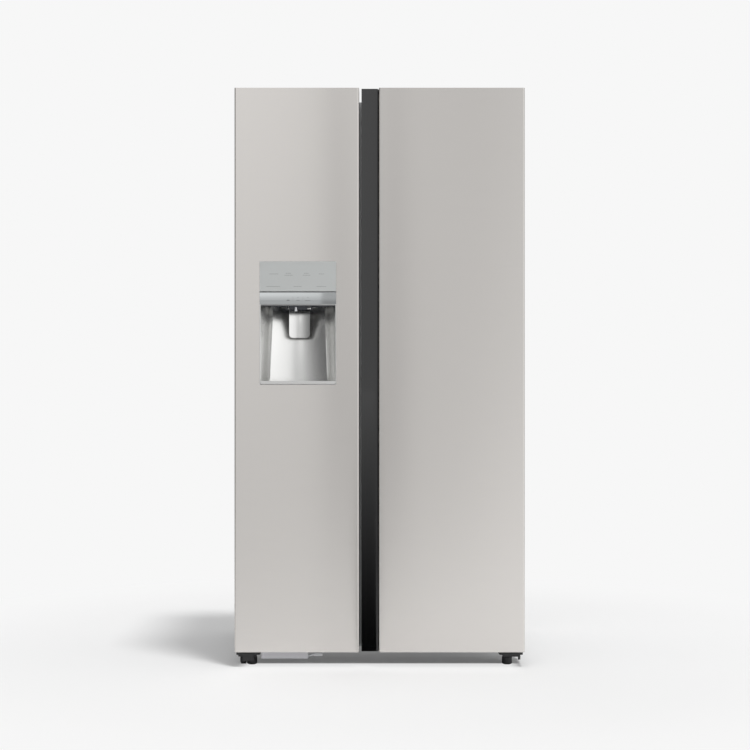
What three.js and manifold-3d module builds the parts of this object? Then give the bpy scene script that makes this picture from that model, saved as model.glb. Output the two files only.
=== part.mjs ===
// Side by side refrigerator with an ice and water dispenser in its freezer door.
// Millimetres, +Z up. The doors face -Y and +X is the viewer's right.
// The origin is on the floor, under the middle of the whole body.
import * as THREE from "three";
import { mergeVertices } from "three/addons/utils/BufferGeometryUtils.js";
import Module from "manifold-3d";

// Overall size
const overallWidth = 895;
const overallHeight = 1786;
const overallDepth = 745;

// Clearances shared by all pieces
const seatGap = 0.3;
const runningGap = 0.4;
const overrun = 5;
const bond = 1;
const mergeTolerance = 1e-4;
const arcSteps = 3;

// Doors
const panelProud = 1.2;
const doorThickness = 75;
const doorGroundClearance = 46.5;
const doorSkin = 1.2;
const doorCornerRadius = 4;
const freezerDoorWidth = 384;
const doorGap = 7.4;
const handleStripWidth = 54;
const doorCap = 26;
const linerFlange = 3;

// Cabinet
const sealThickness = 10;
const sealWidth = 21;
const shellSheet = 1.2;
const shellInset = 5.5;
const shellCornerRadius = 10;
const cabinetBottom = 52;
const cabinetTopDrop = 31;
const rearBulge = 12.5;
const baseSheet = 2;
const linerWall = 2.5;

// Foam walls and the two compartments
const sideWall = 50;
const rearWall = 56.8;
const ceilingWall = 60;
const floorWall = 58;
const mullionWidth = 64;
const machineDepth = 208.8;
const machineHeight = 198;
const machineSideWall = 20;
const stepWall = 50;
const stepChamfer = 40;
const compartmentCorner = 18;

// Hinges
const pivotInset = 24.5;
const pivotSetback = 42.5;
const pinRadius = 5;
const armThickness = 3.5;
const armHalfWidth = 14;

// Places that follow from these sizes
const leftSide = -overallWidth / 2;
const rightSide = overallWidth / 2;
const doorFront = -overallDepth / 2 + panelProud;
const doorBack = doorFront + doorThickness;
const doorBottom = doorGroundClearance;
const doorTop = overallHeight;
const freezerDoorRight = leftSide + freezerDoorWidth;
const fridgeDoorLeft = freezerDoorRight + doorGap;
const fridgeSteelLeft = fridgeDoorLeft + handleStripWidth;
const cabinetFront = doorBack + sealThickness;
const cabinetRear = overallDepth / 2 - rearBulge;
const cabinetHalf = overallWidth / 2 - shellInset;
const cabinetTop = overallHeight - cabinetTopDrop;
const shellHalf = cabinetHalf - shellSheet;
const foamFront = cabinetFront + shellSheet;
const foamRear = cabinetRear - shellSheet;
const foamTop = cabinetTop - shellSheet;
const baseTop = cabinetBottom + baseSheet;
const mullionCentre = (freezerDoorRight + fridgeDoorLeft) / 2;
const compartmentFloor = cabinetBottom + floorWall;
const compartmentCeiling = cabinetTop - ceilingWall;
const compartmentRear = foamRear - rearWall;
const machineFront = foamRear - machineDepth;
const machineTop = cabinetBottom + machineHeight;
const machineSpan = [-shellHalf + machineSideWall, shellHalf - machineSideWall];
const stepFront = machineFront - stepWall;
const stepTop = machineTop + stepWall;
const freezerSpan = [-cabinetHalf + sideWall, mullionCentre - mullionWidth / 2];
const fridgeSpan = [mullionCentre + mullionWidth / 2, cabinetHalf - sideWall];
const pivotX = overallWidth / 2 - pivotInset;
const pivotY = doorFront + pivotSetback;

// Solids

const wasm = await Module();
wasm.setup();

function solid(geometry) {
  const bare = geometry.clone();
  bare.deleteAttribute("normal");
  bare.deleteAttribute("uv");
  const merged = mergeVertices(bare, mergeTolerance);
  const vertProperties = merged.attributes.position.array;
  const triVerts = new Uint32Array(merged.index.array);
  return new wasm.Manifold(new wasm.Mesh({ numProp: 3, vertProperties, triVerts }));
}

function joined(solids) {
  return solids.reduce((sum, next) => sum.add(next));
}

function cut(body, cutters) {
  return cutters.reduce((rest, cutter) => rest.subtract(cutter), body);
}

function block([x0, x1], [y0, y1], [z0, z1]) {
  const middle = new THREE.Vector3(x0 + x1, y0 + y1, z0 + z1).divideScalar(2);
  const size = new THREE.Vector3(x1 - x0, y1 - y0, z1 - z0);
  const place = new THREE.Matrix4().compose(middle, new THREE.Quaternion(), size);
  return solid(new THREE.BoxGeometry(1, 1, 1).applyMatrix4(place));
}

const axisX = new THREE.Vector3(1, 0, 0);
const axisY = new THREE.Vector3(0, 1, 0);
const axisZ = new THREE.Vector3(0, 0, 1);

// An outline (u, v) pushed along Z lies in (x, y), along Y in (x, z) and along X in (y, z).
const turns = {
  x: new THREE.Matrix4().makeBasis(axisY, axisZ, axisX),
  y: new THREE.Matrix4().makeBasis(axisX, axisZ, axisY.clone().negate()),
  z: new THREE.Matrix4(),
};

function prism(shape, axis, from, to, steps = arcSteps) {
  const settings = { depth: 1, bevelEnabled: false, curveSegments: steps };
  const geometry = new THREE.ExtrudeGeometry(shape, settings);
  const start = axis === "y" ? -to : from;
  geometry.applyMatrix4(new THREE.Matrix4().makeScale(1, 1, to - from).setPosition(0, 0, start));
  return solid(geometry.applyMatrix4(turns[axis]));
}

// A closed outline through its corners, each one rounded.
function outline(corners, radius = 0) {
  const shape = new THREE.Shape();
  corners.forEach(([u, v], i) => {
    const corner = new THREE.Vector2(u, v);
    const before = new THREE.Vector2(...corners.at(i - 1));
    const after = new THREE.Vector2(...corners[(i + 1) % corners.length]);
    const reach = Math.min(radius, corner.distanceTo(before) / 2, corner.distanceTo(after) / 2);
    const enter = before.sub(corner).setLength(reach).add(corner);
    const leave = after.sub(corner).setLength(reach).add(corner);
    if (i === 0) shape.moveTo(enter.x, enter.y);
    else shape.lineTo(enter.x, enter.y);
    if (reach > 0) shape.quadraticCurveTo(corner.x, corner.y, leave.x, leave.y);
  });
  shape.closePath();
  return shape;
}

function rectangle([u0, u1], [v0, v1], radius = 0) {
  return outline([[u0, v0], [u1, v0], [u1, v1], [u0, v1]], radius);
}

function circle(radius, u = 0, v = 0) {
  return new THREE.Shape().absarc(u, v, radius, 0, 2 * Math.PI);
}

function rod(axis, from, to, radius, u = 0, v = 0, steps = 2 * arcSteps) {
  return prism(circle(radius, u, v), axis, from, to, steps);
}

// A turned piece: its profile runs from the bottom to the top as [radius, height] pairs.
function turned(profile, sides, axis = "z") {
  const points = profile.map(([radius, height]) => new THREE.Vector2(radius, height));
  const lathe = new THREE.LatheGeometry(points, sides);
  const upright = new THREE.Matrix4().makeBasis(axisX, axisZ, axisY.clone().negate());
  lathe.applyMatrix4(upright);
  return solid(axis === "z" ? lathe : lathe.applyMatrix4(turns[axis]));
}

function grown([low, high], margin) {
  return [low - margin, high + margin];
}

function middle([low, high]) {
  return (low + high) / 2;
}

// The object's groups: one for the cabinet and one for each thing that moves on its own

const refrigerator = new THREE.Group();
const bodies = new Map();

function add(body, name, made, colour, roughness, metalness, place = [0, 0, 0]) {
  if (!bodies.has(body)) {
    bodies.set(body, new THREE.Group());
    refrigerator.add(bodies.get(body));
  }
  const raw = made.getMesh();
  const geometry = new THREE.BufferGeometry();
  geometry.setAttribute("position", new THREE.BufferAttribute(raw.vertProperties, raw.numProp));
  geometry.setIndex(new THREE.BufferAttribute(raw.triVerts, 1));
  const faceted = geometry.toNonIndexed();
  faceted.computeVertexNormals();
  const finish = { color: colour, roughness, metalness };
  const mesh = new THREE.Mesh(faceted, new THREE.MeshStandardMaterial(finish));
  mesh.name = name;
  mesh.position.set(...place);
  bodies.get(body).add(mesh);
}

// Outer shell: one folded steel sheet over the top and sides, with the front frame the doors seal on

function outerShell() {
  const [wide, hollowWide] = [[-cabinetHalf, cabinetHalf], [-shellHalf, shellHalf]];
  const topAndSides = prism(
    rectangle(wide, [cabinetBottom - shellCornerRadius, cabinetTop], shellCornerRadius),
    "y", cabinetFront, cabinetRear);
  const hollow = prism(
    rectangle(hollowWide, [cabinetBottom - 2 * overrun, foamTop], shellCornerRadius - shellSheet),
    "y", foamFront, cabinetRear + overrun);
  const below = block(grown(wide, overrun), [-overallDepth, overallDepth], [-overallHeight, cabinetBottom]);
  const openings = [freezerSpan, fridgeSpan].map((span) =>
    prism(
      rectangle(span, [compartmentFloor, compartmentCeiling], compartmentCorner),
      "y", cabinetFront - overrun, foamFront + overrun));
  return cut(topAndSides, [hollow, below, ...openings]);
}
add("cabinet", "outer_shell", outerShell(), 0x9b9da0, 0.5, 0.2);

// Compartments: the form of each cavity, which the liners line and the foam surrounds

function compartmentForm([x0, x1], margin, front) {
  const low = compartmentFloor - margin;
  const high = compartmentCeiling + margin;
  const rear = compartmentRear + margin;
  const mouth = front - 2 * compartmentCorner;
  const stepY = stepFront + margin;
  const stepZ = stepTop - margin;
  const side = outline([
    [mouth, low],
    [stepY, low],
    [stepY, stepZ - stepChamfer],
    [stepY + stepChamfer, stepZ],
    [rear, stepZ],
    [rear, high],
    [mouth, high],
  ], compartmentCorner);
  const span = [x0 - margin, x1 + margin];
  const fromSide = prism(side, "x", ...span);
  const fromFront = prism(rectangle(span, [low, high], compartmentCorner), "y", front, rear);
  const fromTop = prism(rectangle(span, [mouth, rear], compartmentCorner), "z", low, high);
  return fromSide.intersect(fromFront).intersect(fromTop);
}

// Shelves and drawers hang on ledges that the liners carry

const ledgeDepth = 9;
const ledgeHeight = 6;
const ledgeSetback = 136;
const ledgeFront = cabinetFront + ledgeSetback;
const drawerGap = 18;
const drawerHeight = 170;
const drawerRim = 4;
const drawerTops = [0, 1].map((level) => compartmentFloor + (level + 1) * (drawerHeight + drawerGap));
const coverShelfRise = 24;
const coverShelfTop = drawerTops[1] + coverShelfRise;
const shelfGlass = 4;
const shelfRearGap = 12;
const freezerShelfCount = 2;
const fridgeShelfCount = 3;
const coolerDepth = 50;
const coolerFace = compartmentRear - coolerDepth;
const binHeight = 165;
const iceMakerRoom = 195;
const binFloor = compartmentCeiling - iceMakerRoom - binHeight;
const freezerShelfPitch = (binFloor - coverShelfTop) / freezerShelfCount;
const fridgeShelfPitch = (compartmentCeiling - coverShelfTop) / (fridgeShelfCount + 1);

function shelfTops(count, pitch) {
  return Array.from({ length: count }, (_, k) => coverShelfTop + k * pitch);
}
const freezerShelfTops = shelfTops(freezerShelfCount, freezerShelfPitch);
const fridgeShelfTops = shelfTops(fridgeShelfCount + 1, fridgeShelfPitch);

function liner(span, seats, ledgeRear) {
  const wall = compartmentForm(span, linerWall, foamFront);
  const space = compartmentForm(span, 0, foamFront - overrun);
  const ledges = seats.flatMap((seat) => {
    const rear = seat < stepTop ? stepFront - ledgeDepth : ledgeRear;
    const height = [seat - ledgeHeight, seat];
    return [
      block([span[0] - linerWall / 2, span[0] + ledgeDepth], [ledgeFront, rear], height),
      block([span[1] - ledgeDepth, span[1] + linerWall / 2], [ledgeFront, rear], height),
    ];
  });
  return joined([cut(wall, [space]), ...ledges]);
}

const drawerSeats = drawerTops.map((top) => top - drawerRim - seatGap);
const shelfSeat = (top) => top - shelfGlass - seatGap;
const freezerSeats = [...drawerSeats, ...freezerShelfTops.map(shelfSeat), binFloor - seatGap];
const fridgeSeats = [...drawerSeats, ...fridgeShelfTops.map(shelfSeat)];
const freezerLedgeRear = coolerFace - ledgeDepth;
const fridgeLedgeRear = compartmentRear - compartmentCorner;
add("cabinet", "freezer_liner", liner(freezerSpan, freezerSeats, freezerLedgeRear), 0xe9ecee, 0.4, 0);
add("cabinet", "fridge_liner", liner(fridgeSpan, fridgeSeats, fridgeLedgeRear), 0xe9ecee, 0.4, 0);

function insulation() {
  const bulk = prism(
    rectangle([-shellHalf, shellHalf], [baseTop - 2 * shellCornerRadius, foamTop], shellCornerRadius),
    "y", foamFront, foamRear);
  const below = block(
    [-overallWidth, overallWidth], [-overallDepth, overallDepth], [-overallHeight, baseTop]);
  const machineRoom = block(machineSpan, [machineFront, foamRear + overrun], [cabinetBottom, machineTop]);
  const compartments = [freezerSpan, fridgeSpan].map((span) =>
    compartmentForm(span, linerWall + seatGap, foamFront - overrun));
  return cut(bulk, [below, machineRoom, ...compartments]);
}
add("cabinet", "insulation", insulation(), 0xe6d9a8, 0.9, 0);

// Back panel over the foam, and the pressed cover with its louvres over the machine room

const panelSideGap = 3;
const coverFlange = 12;
const coverFrame = 30;
const louvreCount = 9;
const louvreHeight = 5;

function backPanel() {
  const span = grown([-shellHalf, shellHalf], -panelSideGap);
  return block(span, [foamRear, cabinetRear], [machineTop, foamTop - panelSideGap]);
}
add("cabinet", "back_panel", backPanel(), 0x8f9396, 0.55, 0.6);

function rearCover() {
  const half = shellHalf - 2 * panelSideGap;
  const height = [cabinetBottom + baseSheet + panelSideGap, machineTop + coverFlange];
  const bulgeHeight = grown(height, -coverFrame);
  const bulge = [cabinetRear, overallDepth / 2];
  const flange = block([-half, half], [cabinetRear, cabinetRear + shellSheet], height);
  const raised = block(grown([-half, half], -coverFrame), bulge, bulgeHeight);
  const inside = block(
    grown([-half, half], -coverFrame - shellSheet),
    [cabinetRear - overrun, bulge[1] - shellSheet], grown(bulgeHeight, -shellSheet));
  const pitch = (bulgeHeight[1] - bulgeHeight[0]) / (louvreCount + 1);
  const louvreSpans = [-1, 1].map((side) => {
    const ends = [side * coverFrame, side * (half - 2 * coverFrame)];
    return [Math.min(...ends), Math.max(...ends)];
  });
  const louvres = louvreSpans.flatMap((span) =>
    Array.from({ length: louvreCount }, (_, k) => {
      const z = bulgeHeight[0] + (k + 1) * pitch;
      return block(span, [bulge[1] - overrun, bulge[1] + overrun], grown([z, z], louvreHeight / 2));
    }));
  return cut(joined([flange, raised]), [inside, ...louvres]);
}
add("cabinet", "rear_cover", rearCover(), 0x44474a, 0.6, 0.3);

// Base pan: floor of the foam and of the machine room, with the fan's bracket and the rear rollers' ears

const rollerRadius = 20;
const rollerWidth = 18;
const axleRadius = 4;
const earThickness = 3;
const rearRollerInset = 47;
const rearRollerSetback = 60;
const earMargin = 10;
const fanRadius = 52;
const fanThickness = 18;
const fanOffset = -30;
const fanRise = 72;
const fanBracket = 4;
const fanBracketMargin = 10;
const spiderWidth = 8;
const shaftRadius = 3;
const rearRollerX = overallWidth / 2 - rearRollerInset;
const rearRollerY = cabinetRear - rearRollerSetback;
const fanX = mullionCentre - fanOffset;
const fanY = machineFront + machineDepth / 2;
const fanZ = baseTop + fanRise;

function rollerMount(x, y) {
  const inner = rollerWidth / 2 + runningGap;
  const height = [rollerRadius - earMargin, cabinetBottom];
  const depth = grown([y, y], earMargin);
  const ears = [
    block([x - inner - earThickness, x - inner], depth, height),
    block([x + inner, x + inner + earThickness], depth, height),
  ];
  const reach = inner + earThickness;
  return joined([...ears, rod("x", x - reach, x + reach, axleRadius, y, rollerRadius)]);
}

function fanMount() {
  const half = fanRadius + fanBracketMargin;
  const face = [fanX - fanBracket, fanX];
  const plate = block(face, grown([fanY, fanY], half), [baseTop - baseSheet / 2, fanZ + half]);
  const mouthRadius = fanRadius + fanBracketMargin / 2;
  const mouth = rod("x", face[0] - overrun, face[1] + overrun, mouthRadius, fanY, fanZ, 4 * arcSteps);
  const spider = [
    block(face, grown([fanY, fanY], half), grown([fanZ, fanZ], spiderWidth / 2)),
    block(face, grown([fanY, fanY], spiderWidth / 2), grown([fanZ, fanZ], half)),
  ];
  const shaft = rod("x", fanX - fanBracket / 2, fanX + fanThickness, shaftRadius, fanY, fanZ);
  return joined([plate.subtract(mouth), ...spider, shaft]);
}

function basePan() {
  const span = grown([-shellHalf, shellHalf], -seatGap);
  const sheet = block(span, [foamFront + seatGap, foamRear], [cabinetBottom, baseTop]);
  const mounts = [-1, 1].map((side) => rollerMount(side * rearRollerX, rearRollerY));
  return joined([sheet, ...mounts, fanMount()]);
}
add("cabinet", "base_pan", basePan(), 0x6e7276, 0.55, 0.6);

// Rollers and levelling feet

function roller(radius, width, bore) {
  const rim = radius / 8;
  const half = width / 2;
  return turned([
    [bore, -half],
    [radius - rim, -half],
    [radius, -half + rim],
    [radius, half - rim],
    [radius - rim, half],
    [bore, half],
    [bore, -half],
  ], 5 * arcSteps, "x");
}

// The left front roller stands beside its foot, the right one behind its foot.
const frontRollerRadius = 12;
const frontRollerWidth = 16;
const frontRollerLift = 0.5;
const footRadius = 16;
const footHeight = 24;
const studRadius = 5;
const studTop = 38;
const footInset = 50;
const footSetback = 64;
const leftRollerOffset = 27;
const rightRollerSetback = 41;
const footX = overallWidth / 2 - footInset;
const footY = doorFront + footSetback;

const frontRollers = {
  left: { x: -footX - leftRollerOffset, y: footY },
  right: { x: footX, y: footY + rightRollerSetback },
};

function foot() {
  const edge = footRadius / 8;
  return turned([
    [0, 0],
    [footRadius - 2 * edge, 0],
    [footRadius - edge / 2, edge],
    [footRadius, 2 * edge],
    [footRadius, footHeight - edge],
    [footRadius - edge, footHeight],
    [studRadius, footHeight],
    [studRadius, studTop],
    [0, studTop],
  ], 6 * arcSteps);
}

for (const [name, side] of [["left", -1], ["right", 1]]) {
  const rear = roller(rollerRadius, rollerWidth, axleRadius + runningGap);
  add(name + "_rear_roller", name + "_rear_roller", rear, 0x2b2b2e, 0.6, 0,
    [side * rearRollerX, rearRollerY, rollerRadius]);
  const front = roller(frontRollerRadius, frontRollerWidth, axleRadius / 2 + runningGap);
  const place = frontRollers[name];
  add(name + "_front_roller", name + "_front_roller", front, 0x2b2b2e, 0.6, 0,
    [place.x, place.y, frontRollerRadius + frontRollerLift]);
  add(name + "_foot", name + "_foot", foot(), 0x242427, 0.6, 0, [side * footX, footY, 0]);
}

// Bottom hinges: steel bracket under each front corner, pin up into the door, moulded leg housing below

const bracketThickness = 6;
const bracketBottom = 34;
const bracketHalfWidth = 37;
const bracketInset = 40;
const bracketSetback = 27;
const bracketDepth = 130;
const bracketCorner = 8;
const legHousingHeight = 8;
const legHousingHalf = 25;
const legHousingDepth = 80;
const collarRadius = 9;
const pinReach = 17;
const adjusterInset = 14;
const adjusters = { left: { radius: 6, drop: 7 }, right: { radius: 3.7, drop: 17 } };
const leftBlockDrop = 19;
const leftBlockHalf = 17.5;
const leftBlockDepth = 10;
const bracketX = overallWidth / 2 - bracketInset;
const bracketFront = doorFront + bracketSetback;
const bracketRear = bracketFront + bracketDepth;

function frontRollerMount({ x, y }) {
  const inner = frontRollerWidth / 2 + runningGap;
  const ear = earThickness / 2;
  const height = [frontRollerRadius + frontRollerLift - ear - axleRadius, bracketBottom + ear];
  const depth = grown([y, y], axleRadius + ear);
  const z = frontRollerRadius + frontRollerLift;
  return joined([
    block([x - inner - ear, x - inner], depth, height),
    block([x + inner, x + inner + ear], depth, height),
    rod("x", x - inner - ear, x + inner + ear, axleRadius / 2, y, z),
  ]);
}

function bottomHinge(name, side) {
  const span = grown([side * bracketX, side * bracketX], bracketHalfWidth);
  const bracketTop = bracketBottom + bracketThickness;
  const plate = prism(
    rectangle(span, [bracketFront, bracketRear], bracketCorner), "z", bracketBottom, bracketTop);
  const packer = block(
    grown(span, -bracketCorner), [foamFront + seatGap, bracketRear], [bracketTop - bond, cabinetBottom]);
  const housingSpan = grown([side * bracketX, side * bracketX], legHousingHalf);
  const housingFront = footY - legHousingHalf;
  const housing = block(
    housingSpan, [housingFront, housingFront + legHousingDepth],
    [bracketBottom - legHousingHeight, bracketBottom + bond]);
  const pivot = [side * pivotX, pivotY];
  const pin = rod("z", bracketBottom, doorBottom + pinReach, pinRadius, ...pivot);
  const collar = rod("z", bracketTop - bond, doorBottom - seatGap, collarRadius, ...pivot);
  const { radius, drop } = adjusters[name];
  const adjusterX = side * (overallWidth / 2 - adjusterInset);
  const adjuster = rod("z", bracketBottom - drop, bracketBottom + bond, radius, adjusterX, pivotY, arcSteps);
  const pieces = [plate, packer, housing, pin, collar, adjuster, frontRollerMount(frontRollers[name])];
  if (side < 0) {
    const depth = [housingFront - leftBlockDepth, housingFront + bond];
    const blockSpan = grown([-bracketX, -bracketX], leftBlockHalf);
    pieces.push(block(blockSpan, depth, [bracketBottom - leftBlockDrop, bracketBottom + bond]));
  }
  const studHole = rod("z", 0, studTop + seatGap, studRadius + runningGap, side * footX, footY);
  return cut(joined(pieces), [studHole]);
}
for (const [name, side] of [["left", -1], ["right", 1]]) {
  add("cabinet", name + "_bottom_hinge", bottomHinge(name, side), 0x35363a, 0.5, 0.3);
}

// Top hinges: a stepped steel arm on the cabinet's top, and a moulded cover over its foot

const hingeFootInset = 11.5;
const hingeFootWidth = 78;
const hingeFootDepth = 80;
const hingeRiserThickness = 6;
const armCoverGap = 1;
const coverWall = 2;
const coverMargin = 5;
const pocketGap = 0.5;
const hingeFootEnd = overallWidth / 2 - hingeFootInset;
const hingeFootSpan = [hingeFootEnd - hingeFootWidth, hingeFootEnd];
const hingeFootRear = cabinetFront + hingeFootDepth;
const armTop = overallHeight - coverWall - armCoverGap;
const armBottom = armTop - armThickness;
const pocketFloor = armBottom - pocketGap;
const topPinBottom = pocketFloor - pinReach;

function mirrored(span, side) {
  return side > 0 ? span : [-span[1], -span[0]];
}

function topHinge(side) {
  const riserFront = cabinetFront + coverWall + seatGap;
  const riser = [riserFront, riserFront + hingeRiserThickness];
  const footHigh = [cabinetTop, cabinetTop + armThickness];
  const foot = block(mirrored(hingeFootSpan, side), [riser[0], hingeFootRear], footHigh);
  const neck = grown([side * pivotX, side * pivotX], armHalfWidth);
  const post = block(neck, riser, [cabinetTop, armTop]);
  const arm = block(neck, [pivotY, riser[1]], [armBottom, armTop]);
  const eye = rod("z", armBottom, armTop, armHalfWidth, side * pivotX, pivotY, 3 * arcSteps);
  const pin = rod("z", topPinBottom, armTop, pinRadius, side * pivotX, pivotY);
  return joined([foot, post, arm, eye, pin]);
}

function hingeCover(side) {
  const span = mirrored(grown(hingeFootSpan, coverMargin), side);
  const depth = [cabinetFront, hingeFootRear + coverMargin];
  const height = [cabinetTop, overallHeight];
  const outer = prism(rectangle(span, depth, coverMargin), "z", ...height);
  const inner = block(
    grown(span, -coverWall), grown(depth, -coverWall), [height[0] - overrun, height[1] - coverWall]);
  const neck = grown([side * pivotX, side * pivotX], armHalfWidth + runningGap);
  const mouth = [armBottom - runningGap, height[1] - coverWall];
  const slot = block(neck, grown([depth[0], depth[0]], overrun), mouth);
  return cut(outer, [inner, slot]);
}
for (const [name, side] of [["left", -1], ["right", 1]]) {
  add("cabinet", name + "_top_hinge", topHinge(side), 0x8a8d90, 0.4, 0.8);
  add("cabinet", name + "_hinge_cover", hingeCover(side), 0x2e2f31, 0.6, 0);
}

// Water line: a plate under the cabinet's front, and the end of the tube with its push-fit coupler

const linePlateWidth = 145;
const linePlateGap = 4;
const linePlateTall = 21;
const linePlateDrop = 9;
const linePlateSetback = 31;
const linePlateDepth = 108;
const linePlateThickness = 2;
const tubeRadius = 3.2;
const couplerRadius = 5.4;
const couplerLength = 26;
const tubeRise = 5;
const tubeLength = 18;
const linePlateLeft = -bracketX + bracketHalfWidth + linePlateGap;
const linePlateSpan = [linePlateLeft, linePlateLeft + linePlateWidth];
const linePlateTop = cabinetBottom - linePlateDrop;
const linePlateHeight = [linePlateTop - linePlateTall, linePlateTop];
const linePlateFront = doorFront + linePlateSetback;
const linePlateRear = linePlateFront + linePlateDepth;

function linePlate() {
  const depth = [linePlateFront, linePlateRear];
  const face = block(linePlateSpan, [depth[0], depth[0] + linePlateThickness], linePlateHeight);
  const shelf = block(linePlateSpan, depth, [linePlateHeight[1] - linePlateThickness, linePlateHeight[1]]);
  const upstand = block(
    linePlateSpan, [depth[1] - linePlateThickness, depth[1]], [linePlateHeight[0], cabinetBottom]);
  return joined([face, shelf, upstand]);
}
add("cabinet", "water_line_cover", linePlate(), 0xa6a6aa, 0.45, 0.3);

function waterLine() {
  const x = linePlateSpan[1] + seatGap;
  const y = linePlateFront + 2 * couplerRadius;
  const z = linePlateHeight[0] + 2 * tubeRadius;
  const knee = new THREE.Vector3(x + tubeLength, y, z + tubeRise);
  const path = new THREE.CatmullRomCurve3([
    new THREE.Vector3(x, y, z),
    new THREE.Vector3(x + tubeLength / 2, y, z + tubeRise / 2),
    knee,
  ]);
  const settings = { steps: 2, extrudePath: path, curveSegments: 2 * arcSteps };
  const tube = solid(new THREE.ExtrudeGeometry(circle(tubeRadius), settings));
  const coupler = rod("x", knee.x - bond, knee.x + couplerLength, couplerRadius, knee.y, knee.z);
  const colletSpan = [knee.x + couplerLength / 3, knee.x + couplerLength / 2];
  const collet = rod("x", ...colletSpan, couplerRadius + bond, knee.y, knee.z);
  const hanger = block(
    [knee.x + couplerLength / 2, knee.x + couplerLength - bond],
    [knee.y - tubeRadius, linePlateRear], [knee.z + tubeRadius, knee.z + couplerRadius]);
  const tab = block(
    [knee.x + couplerLength / 2, knee.x + couplerLength - bond],
    [linePlateRear - linePlateThickness, linePlateRear], [knee.z + tubeRadius, cabinetBottom]);
  return joined([tube, coupler, collet, hanger, tab]);
}
add("cabinet", "water_line", waterLine(), 0xd9dcde, 0.5, 0);

// Machine room: compressor on its rubber feet, and the condenser's tube rows in two hangers

const compressorRadius = 74;
const compressorHeight = 150;
const compressorInset = 190;
const compressorX = shellHalf - compressorInset;
const compressorY = machineFront + machineDepth / 2;
const compressorLift = 12;
const compressorPlate = 4;
const compressorSeam = 2;
const compressorSeamReach = 3;
const compressorFootRadius = 9;
const compressorFootInset = 12;
const terminalReach = 14;
const terminalHalf = 22;
const stubRadius = 4;
const stubRise = 10;
const condenserMargin = 40;
const condenserWidth = 270;
const condenserRows = 5;
const condenserPitch = 22;
const condenserTube = 4;
const condenserY = machineFront + machineDepth / 2;
const condenserSpan = [machineSpan[0] + condenserMargin, machineSpan[0] + condenserMargin + condenserWidth];
const hangerThickness = 2;

function compressor() {
  const r = compressorRadius;
  const h = compressorHeight;
  const domeShares = [
    [0, 0], [0.72, 0], [0.94, 0.1], [1, 0.24], [1, 0.62], [0.9, 0.82], [0.62, 0.95], [0, 1]];
  const can = turned(domeShares.map(([rShare, hShare]) => [rShare * r, hShare * h]), 6 * arcSteps);
  const [seamLow, seamHigh] = grown([h / 2, h / 2], compressorSeam);
  const seamRadius = r + compressorSeamReach;
  const rim = [[0, seamLow], [seamRadius, seamLow], [seamRadius, seamHigh], [0, seamHigh]];
  const seam = turned(rim, 6 * arcSteps);
  const plate = block([-r, r], [-r, r], [-compressorPlate, bond]);
  const terminal = block([-r - terminalReach, -r / 2], [-terminalHalf, terminalHalf], [h / 4, 3 * h / 5]);
  const footPlace = r - compressorFootInset;
  const feet = [-1, 1].flatMap((i) => [-1, 1].map((j) =>
    rod("z", seatGap - compressorLift, 0, compressorFootRadius, i * footPlace, j * footPlace)));
  const stubs = [-1, 1].map((i) => rod("z", h / 2, h + stubRise, stubRadius, i * r / 2, r / 3));
  return joined([can, seam, plate, terminal, ...feet, ...stubs]);
}
add("cabinet", "compressor", compressor(), 0x1d1e20, 0.45, 0.4,
  [compressorX, compressorY, baseTop + compressorLift]);

// Rows of tube joined by half rings at alternate ends.
function serpentine([x0, x1], rows, pitch, radius, y, z0) {
  const bend = pitch / 2;
  const sides = arcSteps;
  const pieces = [];
  for (let row = 0; row < rows; row += 1) {
    const z = z0 + row * pitch;
    pieces.push(rod("x", x0, x1, radius, y, z, sides));
    if (row === rows - 1) break;
    const end = row % 2 === 0 ? x1 : x0;
    const way = row % 2 === 0 ? 1 : -1;
    const curve = new THREE.CatmullRomCurve3(
      Array.from({ length: 2 * arcSteps + 1 }, (_, k) => {
        const angle = -Math.PI / 2 + (k * Math.PI) / (2 * arcSteps);
        return new THREE.Vector3(
          end + way * (Math.cos(angle) * bend - radius / 4), y, z + bend + Math.sin(angle) * bend);
      }));
    const settings = { steps: 2 * arcSteps, extrudePath: curve, curveSegments: sides };
    pieces.push(solid(new THREE.ExtrudeGeometry(circle(radius), settings)));
  }
  return joined(pieces);
}

function condenser() {
  const lowest = baseTop + condenserPitch;
  const coil = serpentine(condenserSpan, condenserRows, condenserPitch, condenserTube, condenserY, lowest);
  const top = lowest + (condenserRows - 1) * condenserPitch + 2 * condenserTube;
  const quarter = (condenserSpan[1] - condenserSpan[0]) / 4;
  const hangers = [1, 3].map((k) => {
    const x = condenserSpan[0] + k * quarter;
    const deep = grown([condenserY, condenserY], 3 * condenserTube);
    return block(grown([x, x], hangerThickness / 2), deep, [baseTop + seatGap, top]);
  });
  return joined([coil, ...hangers]);
}
add("cabinet", "condenser", condenser(), 0x2a2b2d, 0.5, 0.5);

// Fans: a hub with raked blades

const bladeCount = 5;
const bladeThickness = 2;
const bladeRake = THREE.MathUtils.degToRad(32);
const hubShare = 0.3;
const chordShare = 1.6;

function fan(radius, thickness) {
  const hub = radius * hubShare;
  const bore = shaftRadius + runningGap;
  const half = thickness / 2;
  const core = turned([[bore, -half], [hub, -half], [hub, half], [bore, half], [bore, -half]], 4 * arcSteps);
  const spread = half / Math.sin(bladeRake);
  const blades = Array.from({ length: bladeCount }, (_, k) => {
    const geometry = new THREE.BoxGeometry(radius - hub, chordShare * spread, bladeThickness);
    geometry.rotateX(bladeRake);
    geometry.translate((radius + hub) / 2 - bladeThickness, 0, 0);
    geometry.rotateZ((k * 2 * Math.PI) / bladeCount);
    return solid(geometry);
  });
  const envelope = rod("z", -half, half, radius, 0, 0, 4 * arcSteps);
  return core.add(joined(blades).intersect(envelope));
}

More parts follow.
